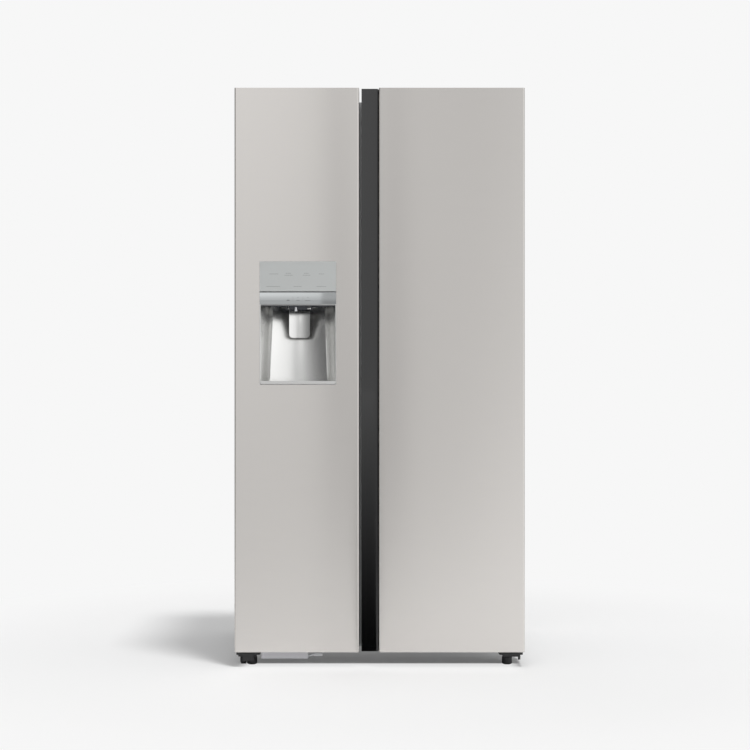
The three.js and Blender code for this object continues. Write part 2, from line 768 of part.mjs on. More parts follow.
function onAxis(made, axis) {
  const turn = axis === "x" ? [0, 90, 0] : [90, 0, 0];
  return made.rotate(turn);
}
const condenserFan = onAxis(fan(fanRadius, fanThickness), "x");
add("condenser_fan", "condenser_fan", condenserFan, 0x26282b, 0.6, 0,
  [fanX + fanThickness / 2 + runningGap, fanY, fanZ]);

// Cooling unit behind the freezer: finned evaporator, its fan, and the cover with grille and vents

const evaporatorMargin = 32;
const evaporatorRise = 70;
const coolerTopDrop = 60;
const freezerFanDrop = 110;
const evaporatorSpan = grown(freezerSpan, -evaporatorMargin);
const evaporatorRows = 5;
const evaporatorPitch = 36;
const evaporatorTube = 4;
const finCount = 4;
const finThickness = 2;
const coverSheet = 2.5;
const coolerBottom = stepTop + seatGap;
const coolerTop = binFloor - coolerTopDrop;
const evaporatorY = middle([coolerFace + coverSheet, compartmentRear]);
const evaporatorBottom = coolerBottom + evaporatorRise;
const freezerFanX = middle(freezerSpan);
const freezerFanZ = coolerTop - freezerFanDrop;
const freezerFanThickness = 16;
const grilleSlots = 12;
const ventCount = 6;
const ventHeight = 8;
const grilleSlotShare = 0.62;

function evaporator() {
  const coil = serpentine(
    evaporatorSpan, evaporatorRows, evaporatorPitch, evaporatorTube, evaporatorY,
    evaporatorBottom + evaporatorPitch / 2);
  const height = [evaporatorBottom, evaporatorBottom + evaporatorRows * evaporatorPitch];
  const pitch = (evaporatorSpan[1] - evaporatorSpan[0]) / (finCount + 1);
  const fins = Array.from({ length: finCount }, (_, k) => {
    const x = evaporatorSpan[0] + (k + 1) * pitch;
    const deep = [evaporatorY - 3 * evaporatorTube, compartmentRear - seatGap];
    return block(grown([x, x], finThickness / 2), deep, height);
  });
  return joined([coil, ...fins]);
}
add("cabinet", "evaporator", evaporator(), 0xb9bcbf, 0.4, 0.9);

function evaporatorCover() {
  const span = grown(freezerSpan, -seatGap);
  const face = block(span, [coolerFace, coolerFace + coverSheet], [coolerBottom, coolerTop]);
  const lid = block(
    grown(span, -compartmentCorner), [coolerFace, compartmentRear - seatGap],
    [coolerTop - coverSheet, coolerTop]);
  const slots = Array.from({ length: grilleSlots }, (_, k) => {
    const geometry = new THREE.BoxGeometry(grilleSlotShare * fanRadius, 3 * overrun, ventHeight);
    geometry.translate(grilleSlotShare * fanRadius, 0, 0);
    geometry.rotateY((k * 2 * Math.PI) / grilleSlots);
    geometry.translate(freezerFanX, coolerFace, freezerFanZ);
    return solid(geometry);
  });
  const ventHalf = (span[1] - span[0]) / 4;
  const vents = Array.from({ length: ventCount }, (_, k) => {
    const z = coolerBottom + (2 * k + 2) * 2 * ventHeight;
    const deep = grown([coolerFace, coolerFace], 2 * overrun);
    return block(grown([freezerFanX, freezerFanX], ventHalf), deep, [z, z + ventHeight]);
  });
  const shaftEnd = coolerFace + coverSheet + freezerFanThickness;
  const shaft = rod("y", coolerFace, shaftEnd, shaftRadius, freezerFanX, freezerFanZ);
  return joined([cut(joined([face, lid]), [...slots, ...vents]), shaft]);
}
add("cabinet", "evaporator_cover", evaporatorCover(), 0xe3e6e8, 0.45, 0);

const evaporatorFan = onAxis(fan(fanRadius, freezerFanThickness), "y");
add("evaporator_fan", "evaporator_fan", evaporatorFan, 0xd8dadc, 0.6, 0,
  [freezerFanX, coolerFace + coverSheet + runningGap + freezerFanThickness / 2, freezerFanZ]);

// Air duct down the fridge's rear wall, with a vent above each shelf

const ductHalf = 62;
const ductDepth = 11;
const ductWall = 2;

function airDuct() {
  const x = middle(fridgeSpan);
  const height = [coverShelfTop + 2 * shelfGlass, compartmentCeiling - compartmentCorner];
  const depth = [compartmentRear - ductDepth, compartmentRear - seatGap];
  const outer = prism(rectangle(grown([x, x], ductHalf), height, compartmentCorner), "y", ...depth);
  const inner = block(
    grown([x, x], ductHalf - compartmentCorner), [depth[0] + ductWall, depth[1] + overrun],
    grown(height, -compartmentCorner));
  const vents = fridgeShelfTops.flatMap((top) => [-1, 1].map((side) => {
    const z = top + fridgeShelfPitch / 2;
    const ventX = x + side * ductHalf / 2;
    const deep = grown([depth[0], depth[0]], overrun);
    return block(grown([ventX, ventX], ventHeight), deep, [z, z + ventHeight]);
  }));
  return cut(outer, [inner, ...vents]);
}
add("cabinet", "air_duct", airDuct(), 0xdfe2e4, 0.4, 0);

// Glass shelves: a pane with a moulded rail along its front edge

const shelfSetback = 166;
const shelfFront = cabinetFront + shelfSetback;
const shelfSideGap = 1;
const shelfRail = 14;
const railThickness = 9;

function shelf(span, top, rear) {
  const width = grown(span, -shelfSideGap);
  const pane = prism(rectangle(width, [shelfFront, rear], shelfSideGap), "z", top - shelfGlass, top);
  const railHeight = [top - railThickness, top + shelfGlass / 2];
  const rail = prism(
    rectangle(grown([shelfFront, shelfFront], shelfRail / 2), railHeight, shelfGlass / 2),
    "x", width[0] + ledgeDepth + shelfSideGap, width[1] - ledgeDepth - shelfSideGap);
  return joined([pane, rail]);
}
const freezerShelfRear = coolerFace - shelfSideGap;
const fridgeShelfRear = compartmentRear - shelfRearGap;
freezerShelfTops.forEach((top, k) => {
  add("cabinet", "freezer_shelf_" + (k + 1), shelf(freezerSpan, top, freezerShelfRear), 0xbfd6d8, 0.1, 0);
});
fridgeShelfTops.forEach((top, k) => {
  const name = k === 0 ? "crisper_cover" : "fridge_shelf_" + k;
  add("cabinet", name, shelf(fridgeSpan, top, fridgeShelfRear), 0xbfd6d8, 0.1, 0);
});

// Drawers: open tubs that hang by their rims on the ledges. A rim starts far enough back to stay
// inside the compartment when its drawer is pulled out, clear of the open door.

const drawerSetback = 128;
const drawerTravel = 200;
const drawerFront = cabinetFront + drawerSetback;
const drawerWall = 3;
const drawerRimGap = 2;
const drawerBodyGap = 3;
const drawerRear = [stepFront - 2 * ledgeDepth, coolerFace - 2 * ledgeDepth];
const drawerCorner = 12;
const drawerFrontThickness = 16;
const drawerFrontRise = 13;

function drawer(span, level) {
  const rimSpan = grown(span, -drawerRimGap);
  const bodySpan = grown(span, -ledgeDepth - drawerBodyGap);
  const top = drawerTops[level];
  const height = [top - drawerHeight, top];
  const depth = [drawerFront + drawerFrontThickness, drawerRear[level]];
  const tub = prism(rectangle(bodySpan, depth, drawerCorner), "z", height[0], top);
  const space = prism(
    rectangle(grown(bodySpan, -drawerWall), grown(depth, -drawerWall), drawerCorner),
    "z", height[0] + drawerWall, top + overrun);
  const rim = block(rimSpan, [cabinetFront + drawerTravel + overrun, depth[1]], [top - drawerRim, top]);
  const front = prism(
    outline([
      [drawerFront + drawerWall, height[0]],
      [depth[0] + drawerWall, height[0]],
      [depth[0] + drawerWall, top - drawerFrontRise],
      [drawerFront + drawerWall, top - drawerFrontRise],
      [drawerFront, top - 2 * drawerFrontRise],
      [drawerFront, middle(height)],
    ]), "x", ...grown(bodySpan, -drawerWall));
  return cut(joined([tub, rim, front]), [space]);
}
for (const [level, name] of [[0, "lower"], [1, "upper"]]) {
  add(name + "_freezer_drawer", name + "_freezer_drawer", drawer(freezerSpan, level), 0xd5dee2, 0.25, 0);
  add(name + "_crisper", name + "_crisper", drawer(fridgeSpan, level), 0xd5dee2, 0.25, 0);
}

// Ice maker under the freezer's ceiling, and the bin that catches and hands on the ice

const makerDrop = 130;
const makerHeight = 62;
const makerDepth = 170;
const motorWidth = 48;
const moldWall = 4;
const moldFins = 6;
const moldFinThickness = 2;
const binWall = 3;
const binSetback = 136;
const binMainFront = cabinetFront + binSetback;
const spoutHalf = 48;
const spoutLead = 4;
const spoutHeight = 90;
const chuteHalf = 38;
const chuteMouthLead = 16;
const chuteMouthDepth = 54;
const dispenserMargins = { outer: 77.7, inner: 70.7 };
const makerBottom = compartmentCeiling - makerDrop;
const spoutFront = cabinetFront - spoutLead;
const chuteMouth = [doorBack - chuteMouthLead, doorBack - chuteMouthLead + chuteMouthDepth];
const nicheSpan = [leftSide + dispenserMargins.outer, freezerDoorRight - dispenserMargins.inner];
const dispenserX = middle(nicheSpan);

// The mould is a trough with low fins between its cups, and the motor housing closes its end.
function iceMaker() {
  const span = grown(freezerSpan, -2 * ledgeDepth);
  const depth = [compartmentRear - seatGap - makerDepth, compartmentRear - seatGap];
  const height = [makerBottom, makerBottom + makerHeight];
  const motor = block([span[0], span[0] + motorWidth], depth, height);
  const mold = block([span[0] + motorWidth - bond, span[1]], depth, [height[0], middle(height)]);
  const troughDepth = grown(depth, -moldWall);
  const troughSpan = [span[0] + motorWidth + moldWall, span[1] - moldWall];
  const trough = rod("x", ...troughSpan, makerHeight / 2 - moldWall, middle(depth), middle(height));
  const basin = block(troughSpan, troughDepth, [middle(height) - moldWall, middle(height) + overrun]);
  const pitch = (troughSpan[1] - troughSpan[0]) / moldFins;
  const finHalf = makerHeight / 2 - moldWall / 2;
  const fins = Array.from({ length: moldFins - 1 }, (_, k) => {
    const x = troughSpan[0] + (k + 1) * pitch;
    return block(
      grown([x, x], moldFinThickness / 2), grown([middle(depth), middle(depth)], finHalf),
      [height[0] + moldWall / 2, middle(height) - 2 * moldWall]);
  });
  return joined([motor, cut(mold, [trough, basin]), ...fins]);
}
add("cabinet", "ice_maker", iceMaker(), 0xc9cdd0, 0.5, 0);

function iceBin() {
  const span = grown(freezerSpan, -drawerRimGap);
  const depth = [binMainFront, coolerFace];
  const height = [binFloor, binFloor + binHeight];
  const spoutSpan = grown([dispenserX, dispenserX], spoutHalf);
  const spoutDepth = [spoutFront, binMainFront + binWall / 2];
  const main = prism(rectangle(span, depth, drawerCorner), "z", ...height);
  const space = prism(
    rectangle(grown(span, -binWall), grown(depth, -binWall), drawerCorner),
    "z", height[0] + binWall, height[1] + overrun);
  const spout = block(spoutSpan, spoutDepth, [height[0], height[0] + spoutHeight]);
  const channel = block(
    grown(spoutSpan, -binWall), [spoutDepth[0] + binWall, binMainFront + 2 * binWall],
    [height[0] + binWall, height[0] + spoutHeight - binWall]);
  const outlet = block(
    grown([dispenserX, dispenserX], chuteHalf), [spoutDepth[0] + binWall, chuteMouth[1]],
    grown([height[0], height[0]], overrun));
  return cut(joined([main, spout]), [space, channel, outlet]);
}
add("cabinet", "ice_bin", iceBin(), 0xdfe5e8, 0.3, 0);

// Door skins: brushed steel sheet folded round the front edges

const skinReturn = 56;
const gripReturn = 11.5;
const pocketLead = 18;
const doorHeight = [doorBottom, doorTop];

function doorSkinSheet([x0, x1], outerSide) {
  const depth = [doorFront, doorBack + 2 * doorCornerRadius];
  const outer = prism(rectangle([x0, x1], depth, doorCornerRadius), "z", ...doorHeight);
  const inner = prism(
    rectangle(grown([x0, x1], -doorSkin), grown(depth, -doorSkin), doorCornerRadius - doorSkin), "z",
    ...grown(doorHeight, overrun));
  const centre = middle([x0, x1]);
  const far = [outerSide * overallWidth, centre].sort((a, b) => a - b);
  const near = [-outerSide * overallWidth, centre].sort((a, b) => a - b);
  const behind = block(far, [doorFront + skinReturn, overallDepth], grown(doorHeight, overrun));
  const behindGrip = block(near, [doorFront + gripReturn, overallDepth], grown(doorHeight, overrun));
  return cut(outer, [inner, behind, behindGrip]);
}

// The hinge arm lies in a pocket in the door's top corner, and both pins turn in the end caps.
function hingePocket(side) {
  const reach = [side * (pivotX - armHalfWidth - coverWall), side * overallWidth].sort((a, b) => a - b);
  const front = pivotY - armHalfWidth - pocketLead;
  return block(reach, [front, overallDepth], [pocketFloor, overallHeight + overrun]);
}

function pinHoles(side) {
  const radius = pinRadius + runningGap;
  const spot = [side * pivotX, pivotY];
  return [
    rod("z", doorBottom - overrun, doorBottom + pinReach + runningGap, radius, ...spot, 3 * arcSteps),
    rod("z", topPinBottom - runningGap, overallHeight + overrun, radius, ...spot, 3 * arcSteps),
  ];
}

// Door frames: top and bottom end caps on the moulded grip profile that runs down the opening edge

const gripLip = 10;
const gripDepth = 18;
const gripWidth = 24;
const gripMouth = 17;
const gripRound = 3;
const channelRecess = 19;
const channelSlope = 14;
const channelFlat = 50;
const pocketWidth = 22;
const channelWall = 8;
const frameBack = doorBack - linerFlange - seatGap;

function freezerGrip() {
  const edge = freezerDoorRight;
  const skinSide = edge - doorSkin;
  const lipBack = doorFront + gripReturn;
  return outline([
    [edge - gripWidth, doorFront + doorSkin],
    [skinSide - doorCornerRadius, doorFront + doorSkin],
    [skinSide, doorFront + doorCornerRadius + doorSkin],
    [skinSide, lipBack],
    [edge - gripDepth, lipBack + gripRound],
    [edge - gripDepth, lipBack + gripMouth],
    [edge, lipBack + gripMouth],
    [edge, frameBack],
    [edge - gripWidth, frameBack],
  ]);
}

function fridgeChannel() {
  const steel = fridgeSteelLeft;
  const lipBack = doorFront + gripLip;
  const floor = doorFront + channelRecess;
  return outline([
    [fridgeDoorLeft, frameBack],
    [fridgeDoorLeft, floor],
    [fridgeDoorLeft + channelFlat, floor],
    [steel, floor + channelSlope],
    [steel + pocketWidth, floor + channelSlope],
    [steel + pocketWidth, lipBack],
    [steel + doorSkin, lipBack],
    [steel + doorSkin, doorFront + doorCornerRadius + doorSkin],
    [steel + doorSkin + doorCornerRadius, doorFront + doorSkin],
    [steel + pocketWidth + channelWall, doorFront + doorSkin],
    [steel + pocketWidth + channelWall, frameBack],
  ]);
}

function doorFrame(profile, capSpan, side) {
  const grip = prism(profile, "z", ...doorHeight);
  const capDepth = [doorFront + doorSkin, frameBack];
  const capShape = rectangle(capSpan, capDepth, doorCornerRadius);
  const caps = [
    prism(capShape, "z", doorBottom, doorBottom + doorCap),
    prism(capShape, "z", doorTop - doorCap, doorTop),
  ];
  return cut(joined([grip, ...caps]), [hingePocket(side), ...pinHoles(side)]);
}

const freezerInner = freezerDoorRight - gripWidth;
const fridgeInner = fridgeSteelLeft + pocketWidth + channelWall;
const freezerCapSpan = [leftSide + doorSkin, freezerInner + doorCornerRadius * 2];
const fridgeCapSpan = [fridgeInner - doorCornerRadius * 2, rightSide - doorSkin];
add("freezer_door", "freezer_door_frame", doorFrame(freezerGrip(), freezerCapSpan, -1), 0x8e9092, 0.45, 0.2);
add("fridge_door", "fridge_door_frame", doorFrame(fridgeChannel(), fridgeCapSpan, 1), 0x131315, 0.35, 0);

// Dispenser: control panel and metal bar over a tapered niche with its nozzle, paddle and drip tray

const dispenserDrop = 535.4;
const panelHeight = 92;
const barHeight = 37;
const trimGap = 3;
const fasciaDepth = 17;
const barBow = 1.2;
const nicheWall = 2;
const nicheHeight = 243;
const nicheDepthTop = 105;
const nicheDepthBottom = 76;
const nicheInsetTop = 36;
const nicheInsetBottom = 23;
const nicheCorner = 4;
const spoutSetback = 36;
const dispenserWidth = nicheSpan[1] - nicheSpan[0];
const dispenserTop = doorTop - dispenserDrop;
const panelBottom = dispenserTop - panelHeight;
const barTop = panelBottom - trimGap;
const barBottom = barTop - barHeight;
const nicheTop = barBottom - seatGap - nicheWall;
const nicheBottom = nicheTop - nicheHeight;

// The depth and the taper of the niche, as shares that run from its mouth to its back.
// The taper speeds up towards the back, so the side walls round off into a hollow rear wall.
const depthShares = [0, 0.5, 0.8, 0.92, 0.975, 1];
const taperShares = [0, 0.34, 0.6, 0.95, 1.75, 3];

function nicheRing(depthShare, taperShare, margin, front) {
  const mouth = rectangle(
    grown(nicheSpan, -nicheWall + margin), [nicheBottom - margin, nicheTop + margin], nicheCorner);
  const points = mouth.extractPoints(arcSteps).shape;
  return points.map(({ x, y: z }) => {
    const rise = (z - nicheBottom) / nicheHeight;
    const inset = THREE.MathUtils.lerp(nicheInsetBottom, nicheInsetTop, rise);
    const depth = THREE.MathUtils.lerp(nicheDepthBottom, nicheDepthTop, rise) + margin;
    const narrowed = 1 - (inset * taperShare) / (dispenserWidth / 2);
    return new THREE.Vector3(dispenserX + (x - dispenserX) * narrowed, front + depth * depthShare, z);
  });
}

// A closed skin over rings that run from the front to the back, each ring anticlockwise from the front.
function lofted(rings) {
  const count = rings[0].length;
  const points = rings.flat();
  const faces = [];
  rings.slice(1).forEach((_, i) => {
    for (let j = 0; j < count; j += 1) {
      const next = (j + 1) % count;
      const a = i * count + j;
      const b = i * count + next;
      faces.push(a, a + count, b, b, a + count, b + count);
    }
  });
  for (const [ring, flip] of [[0, false], [rings.length - 1, true]]) {
    const hub = rings[ring].reduce((sum, p) => sum.add(p), new THREE.Vector3()).divideScalar(count);
    points.push(hub);
    for (let j = 0; j < count; j += 1) {
      const a = ring * count + j;
      const b = ring * count + ((j + 1) % count);
      faces.push(points.length - 1, flip ? b : a, flip ? a : b);
    }
  }
  const geometry = new THREE.BufferGeometry().setFromPoints(points);
  geometry.setIndex(faces);
  return solid(geometry);
}

function nicheForm(margin, lead = 0) {
  const rings = depthShares.map((share, k) => nicheRing(share, taperShares[k], margin, doorFront));
  if (lead > 0) rings.unshift(nicheRing(0, 0, margin, doorFront - lead));
  return lofted(rings);
}

const spoutSize = [56, 34];
const spoutWall = 3;
const spoutDrop = 13;
const spoutY = doorFront + spoutSetback;
const waterSpoutRadius = 3.5;
const waterSpoutDrop = 3;
const waterSpoutOffset = 7;
const paddleOffset = 2.5;
const paddleX = dispenserX + paddleOffset;
const paddleWidth = 64;
const paddleHeight = 92;
const paddleThickness = 3;
const paddleRim = 3.5;
const paddleCorner = 13;
const paddleAxleRadius = 2.5;
const paddleAxleSetback = 6;
const paddleAxleDrop = 8;
const paddleAxleY = spoutY + spoutSize[1] / 2 + paddleAxleSetback;
const paddleAxleZ = nicheTop - paddleAxleDrop;
const lugThickness = 4;
const lugHalf = 6;
const ceilingPlate = 3;
const ceilingPlateSetback = 8;

function chuteOutlet(margin, height) {
  const half = spoutSize[0] / 2 - spoutWall + margin;
  const depth = grown([spoutY, spoutY], spoutSize[1] / 2 - spoutWall + margin);
  return block(grown([dispenserX, dispenserX], half), depth, height);
}

function niche() {
  const lining = cut(nicheForm(nicheWall), [nicheForm(0, overrun)]);
  return cut(lining, [chuteOutlet(0, [nicheTop - overrun, nicheTop + nicheWall + overrun])]);
}
add("freezer_door", "dispenser_niche", niche(), 0xbfc0bf, 0.25, 1);

function controlPanel() {
  const depth = [doorFront - panelProud, doorFront + fasciaDepth];
  return prism(
    outline([
      [depth[0] + panelProud, panelBottom],
      [depth[0], panelBottom + panelProud],
      [depth[0], dispenserTop],
      [depth[1], dispenserTop],
      [depth[1], panelBottom],
    ]), "x", ...nicheSpan);
}
add("freezer_door", "control_panel", controlPanel(), 0xb4b7b8, 0.35, 0.3);

function dispenserBar() {
  const [x0, x1] = nicheSpan;
  const bow = new THREE.Shape();
  bow.moveTo(x1, doorFront + fasciaDepth);
  bow.lineTo(x0, doorFront + fasciaDepth);
  bow.lineTo(x0, doorFront);
  bow.quadraticCurveTo(dispenserX, doorFront - 2 * barBow, x1, doorFront);
  bow.closePath();
  return prism(bow, "z", barBottom, barTop, 4 * arcSteps);
}
add("freezer_door", "dispenser_bar", dispenserBar(), 0xb9bbba, 0.25, 1);

// The housing hangs from a plate that lines the niche's ceiling, with a lug for each end of the paddle.
function nozzleHousing() {
  const height = [nicheTop - spoutDrop, nicheTop - seatGap];
  const spoutSpan = grown([dispenserX, dispenserX], spoutSize[0] / 2);
  const outer = prism(
    rectangle(spoutSpan, grown([spoutY, spoutY], spoutSize[1] / 2), gripRound), "z", ...height);
  const through = chuteOutlet(0, grown(height, overrun));
  const lugOuter = paddleWidth / 2 + lugThickness * 2 + runningGap;
  const plate = nicheForm(-seatGap).intersect(block(
    nicheSpan, [doorFront + ceilingPlateSetback, cabinetFront], [height[1] - ceilingPlate, overallHeight]));
  const lugs = [-1, 1].map((side) => {
    const xs = [paddleX + side * (lugOuter - lugThickness), paddleX + side * lugOuter].sort((a, b) => a - b);
    return block(xs, grown([paddleAxleY, paddleAxleY], lugHalf), [paddleAxleZ - lugHalf, height[1]]);
  });
  const boreReach = lugOuter + overrun;
  const bores = rod(
    "x", paddleX - boreReach, paddleX + boreReach, paddleAxleRadius + runningGap, paddleAxleY, paddleAxleZ);
  const spout = rod(
    "z", height[0] - waterSpoutDrop, height[1], waterSpoutRadius,
    dispenserX - waterSpoutOffset, spoutY - spoutSize[1] / 2 + waterSpoutRadius);
  const bored = cut(joined(lugs), [bores]);
  return cut(joined([plate, outer, spout, bored]), [through]);
}
add("freezer_door", "nozzle_housing", nozzleHousing(), 0x3a3d44, 0.2, 0);

function paddle() {
  const span = grown([paddleX, paddleX], paddleWidth / 2);
  const height = [paddleAxleZ - paddleHeight, paddleAxleZ];
  const front = paddleAxleY - paddleThickness / 2 - paddleRim;
  const back = paddleAxleY + paddleThickness / 2;
  const corners = [[span[0], height[0]], [span[1], height[0]], [span[1], height[1]], [span[0], height[1]]];
  const dished = corners.map(([x, z], k) => [
    x + (k === 0 || k === 3 ? paddleRim : -paddleRim),
    z + (k < 2 ? paddleRim : overrun),
  ]);
  const outer = prism(outline(corners, paddleCorner), "y", front, back);
  const dish = prism(outline(dished, paddleCorner - paddleRim), "y", front - overrun, back - paddleThickness);
  const reach = paddleWidth / 2 + lugThickness * 2;
  const trunnion = rod("x", paddleX - reach, paddleX + reach, paddleAxleRadius, paddleAxleY, paddleAxleZ);
  return cut(outer, [dish]).add(trunnion);
}
add("dispenser_paddle", "dispenser_paddle", paddle(), 0x9c9d9c, 0.3, 0.9);

const traySlots = 9;
const trayHeight = 9;
const traySlotWidth = 6;
const trayWall = 3;

function dripTray() {
  const height = [nicheBottom + seatGap, nicheBottom + trayHeight];
  const form = nicheForm(-seatGap).intersect(block(nicheSpan, [doorFront, cabinetFront], height));
  const pitch = dispenserWidth / (traySlots + 2);
  const slots = Array.from({ length: traySlots }, (_, k) => {
    const x = nicheSpan[0] + (k + 1.5) * pitch;
    const deep = [doorFront + 3 * trayWall, doorFront + nicheDepthBottom - 5 * trayWall];
    return block(grown([x, x], traySlotWidth / 2), deep, [height[0] + trayWall, height[1] + overrun]);
  });
  return cut(form, slots);
}
add("freezer_door", "drip_tray", dripTray(), 0x8a8b8b, 0.3, 0.9);

// Ice chute: a funnel through the freezer door from the ice bin's spout down to the nozzle housing

const chuteWall = 2;
const humpGap = 8;
const humpTop = binFloor - humpGap;
const outletDepth = grown([spoutY, spoutY], spoutSize[1] / 2 - spoutWall);

function chuteForm(margin, lead) {
  const outlet = nicheTop + nicheWall + seatGap;
  const slopeFront = (chuteMouth[0] - outletDepth[0]) / (humpTop - outlet);
  const slopeRear = (chuteMouth[1] - outletDepth[1]) / (humpTop - outlet);
  return prism(
    outline([
      [outletDepth[0] - margin - slopeFront * lead, outlet - lead],
      [outletDepth[1] + margin - slopeRear * lead, outlet - lead],
      [chuteMouth[1] + margin + slopeRear * lead, humpTop + lead],
      [chuteMouth[0] - margin + slopeFront * lead, humpTop + lead],
    ]), "x", ...grown([dispenserX, dispenserX], spoutSize[0] / 2 - spoutWall + margin));
}
add("freezer_door", "ice_chute", cut(chuteForm(chuteWall, 0), [chuteForm(0, overrun)]), 0xd0d4d6, 0.4, 0);

const cutoutMargin = seatGap;
const fasciaSlot = block(
  grown(nicheSpan, cutoutMargin), [doorFront - overrun, doorFront + doorSkin + overrun],
  [nicheBottom - nicheWall - cutoutMargin, dispenserTop + cutoutMargin]);
const freezerSkin = cut(doorSkinSheet([leftSide, freezerDoorRight], -1), [fasciaSlot, hingePocket(-1)]);
const fridgeSkin = cut(doorSkinSheet([fridgeSteelLeft, rightSide], 1), [hingePocket(1)]);
add("freezer_door", "freezer_door_skin", freezerSkin, 0xc4c2be, 0.3, 1);
add("fridge_door", "fridge_door_skin", fridgeSkin, 0xc0bdb9, 0.3, 1);

// Door liners: moulded and foam filled, with raised side walls that carry the bins

const dykeWidth = 20;
const dykeDepth = 45;
const dykeSide = 16;
const dykeEnd = 24;
const recessDepth = 24;
const freezerDykeFar = 46;
const fridgeDykeFar = 68;
const humpDepth = 60;
const freezerDyke = [freezerSpan[0] + dykeSide / 2, freezerDoorRight - freezerDykeFar];
const fridgeDyke = [fridgeDoorLeft + fridgeDykeFar, fridgeSpan[1] - dykeSide / 2];
const dykeHeight = grown([compartmentFloor, compartmentCeiling], -dykeEnd);
const humpBottom = nicheBottom - 3 * dykeEnd;

function doorLiner(flangeSpan, coreSpan, dyke, side) {
  const core = prism(
    rectangle(coreSpan, [doorFront + doorSkin, doorBack], doorCornerRadius),
    "z", ...grown(doorHeight, -doorCap - seatGap));
  const flange = block(flangeSpan, [doorBack - linerFlange, doorBack], grown(doorHeight, -seatGap));
  const walls = prism(
    rectangle(dyke, dykeHeight, compartmentCorner), "y", doorBack - bond, doorBack + dykeDepth);
  const recess = prism(
    rectangle(grown(dyke, -dykeWidth), grown(dykeHeight, -dykeWidth), compartmentCorner),
    "y", doorBack - recessDepth, doorBack + dykeDepth + overrun);
  return cut(joined([core, flange, walls]), [recess, hingePocket(side)]);
}

function freezerDoorLiner() {
  const core = [leftSide + doorSkin + seatGap, freezerInner - seatGap];
  const flange = [leftSide + doorSkin, freezerDoorRight];
  const shell = doorLiner(flange, core, freezerDyke, -1);
  const hump = block(
    grown(freezerDyke, bond - dykeWidth), [doorBack - recessDepth - bond, doorBack + humpDepth],
    [humpBottom, humpTop]);
  const fasciaPocket = block(
    grown(nicheSpan, seatGap), [doorFront - overrun, doorFront + fasciaDepth + seatGap],
    [barBottom - seatGap, dispenserTop + seatGap]);
  return cut(joined([shell, hump]), [
    nicheForm(nicheWall + seatGap, overrun),
    fasciaPocket,
    chuteForm(chuteWall + seatGap, overrun),
  ]);
}
add("freezer_door", "freezer_door_liner", freezerDoorLiner(), 0xeceef0, 0.4, 0);

const fridgeCore = [fridgeInner + seatGap, rightSide - doorSkin - seatGap];
const fridgeFlange = [fridgeDoorLeft, rightSide - doorSkin];
add("fridge_door", "fridge_door_liner", doorLiner(fridgeFlange, fridgeCore, fridgeDyke, 1), 0xeceef0, 0.4, 0);

// Gaskets: a flat foot on the door and a magnetic bead that meets the front frame

const sealBead = 14;
const sealFoot = 3;
const sealEnd = 22;
const sealPivotInset = 2;
const freezerSeal = [-pivotX + sealPivotInset, mullionCentre - mullionWidth / 2 + sealWidth];
const fridgeSeal = [mullionCentre + mullionWidth / 2 - sealWidth, pivotX - sealPivotInset];
const sealHeight = grown([compartmentFloor, compartmentCeiling], sealEnd);

function gasket(span) {
  const ring = (inset, width, depth) => {
    const frame = (margin) => rectangle(grown(span, -margin), grown(sealHeight, -margin), sealBead / 2);
    const outer = prism(frame(inset), "y", ...depth);
    return outer.subtract(prism(frame(inset + width), "y", ...grown(depth, overrun)));
  };
  const inset = (sealWidth - sealBead) / 2;
  return joined([
    ring(0, sealWidth, [doorBack, doorBack + sealFoot]),
    ring(inset, sealBead, [doorBack + sealFoot - bond, cabinetFront - seatGap]),
  ]);
}
add("freezer_door", "freezer_door_gasket", gasket(freezerSeal), 0xcfd2d4, 0.7, 0);
add("fridge_door", "fridge_door_gasket", gasket(fridgeSeal), 0xcfd2d4, 0.7, 0);

// Door bins: open trays between the liner's side walls

const doorBinHeight = 95;
const doorBinWall = 3;
const doorBinCorner = 10;
const doorBinReach = { freezer: 94, fridge: 114 };
const lowerBinShare = 0.413;
const recessFloor = dykeHeight[0] + dykeWidth;
const lowerBinFloor = recessFloor + (humpBottom - recessFloor) * lowerBinShare;
const freezerBinFloors = [lowerBinFloor, binFloor + 1.5 * doorBinHeight];
const fridgeBinPitch = 380;
const lowestBinFloor = recessFloor + compartmentCorner;
const fridgeBinFloors = [0, 1, 2].map((k) => lowestBinFloor + k * fridgeBinPitch);

function doorBin(dyke, reach) {
  const span = grown(dyke, -dykeWidth - seatGap);
  const depth = [doorBack - recessDepth + seatGap, doorBack + reach];
  const tray = prism(rectangle(span, depth, doorBinCorner), "z", 0, doorBinHeight);
  const space = prism(
    rectangle(grown(span, -doorBinWall), grown(depth, -doorBinWall), doorBinCorner),
    "z", doorBinWall, doorBinHeight + overrun);
  return tray.subtract(space);
}
freezerBinFloors.forEach((z, k) => {
  const bin = doorBin(freezerDyke, doorBinReach.freezer);
  add("freezer_door", "freezer_door_bin_" + (k + 1), bin, 0xcfdadf, 0.2, 0, [0, 0, z]);
});
fridgeBinFloors.forEach((z, k) => {
  const bin = doorBin(fridgeDyke, doorBinReach.fridge);
  add("fridge_door", "fridge_door_bin_" + (k + 1), bin, 0xcfdadf, 0.2, 0, [0, 0, z]);
});

export default refrigerator;
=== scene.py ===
import math

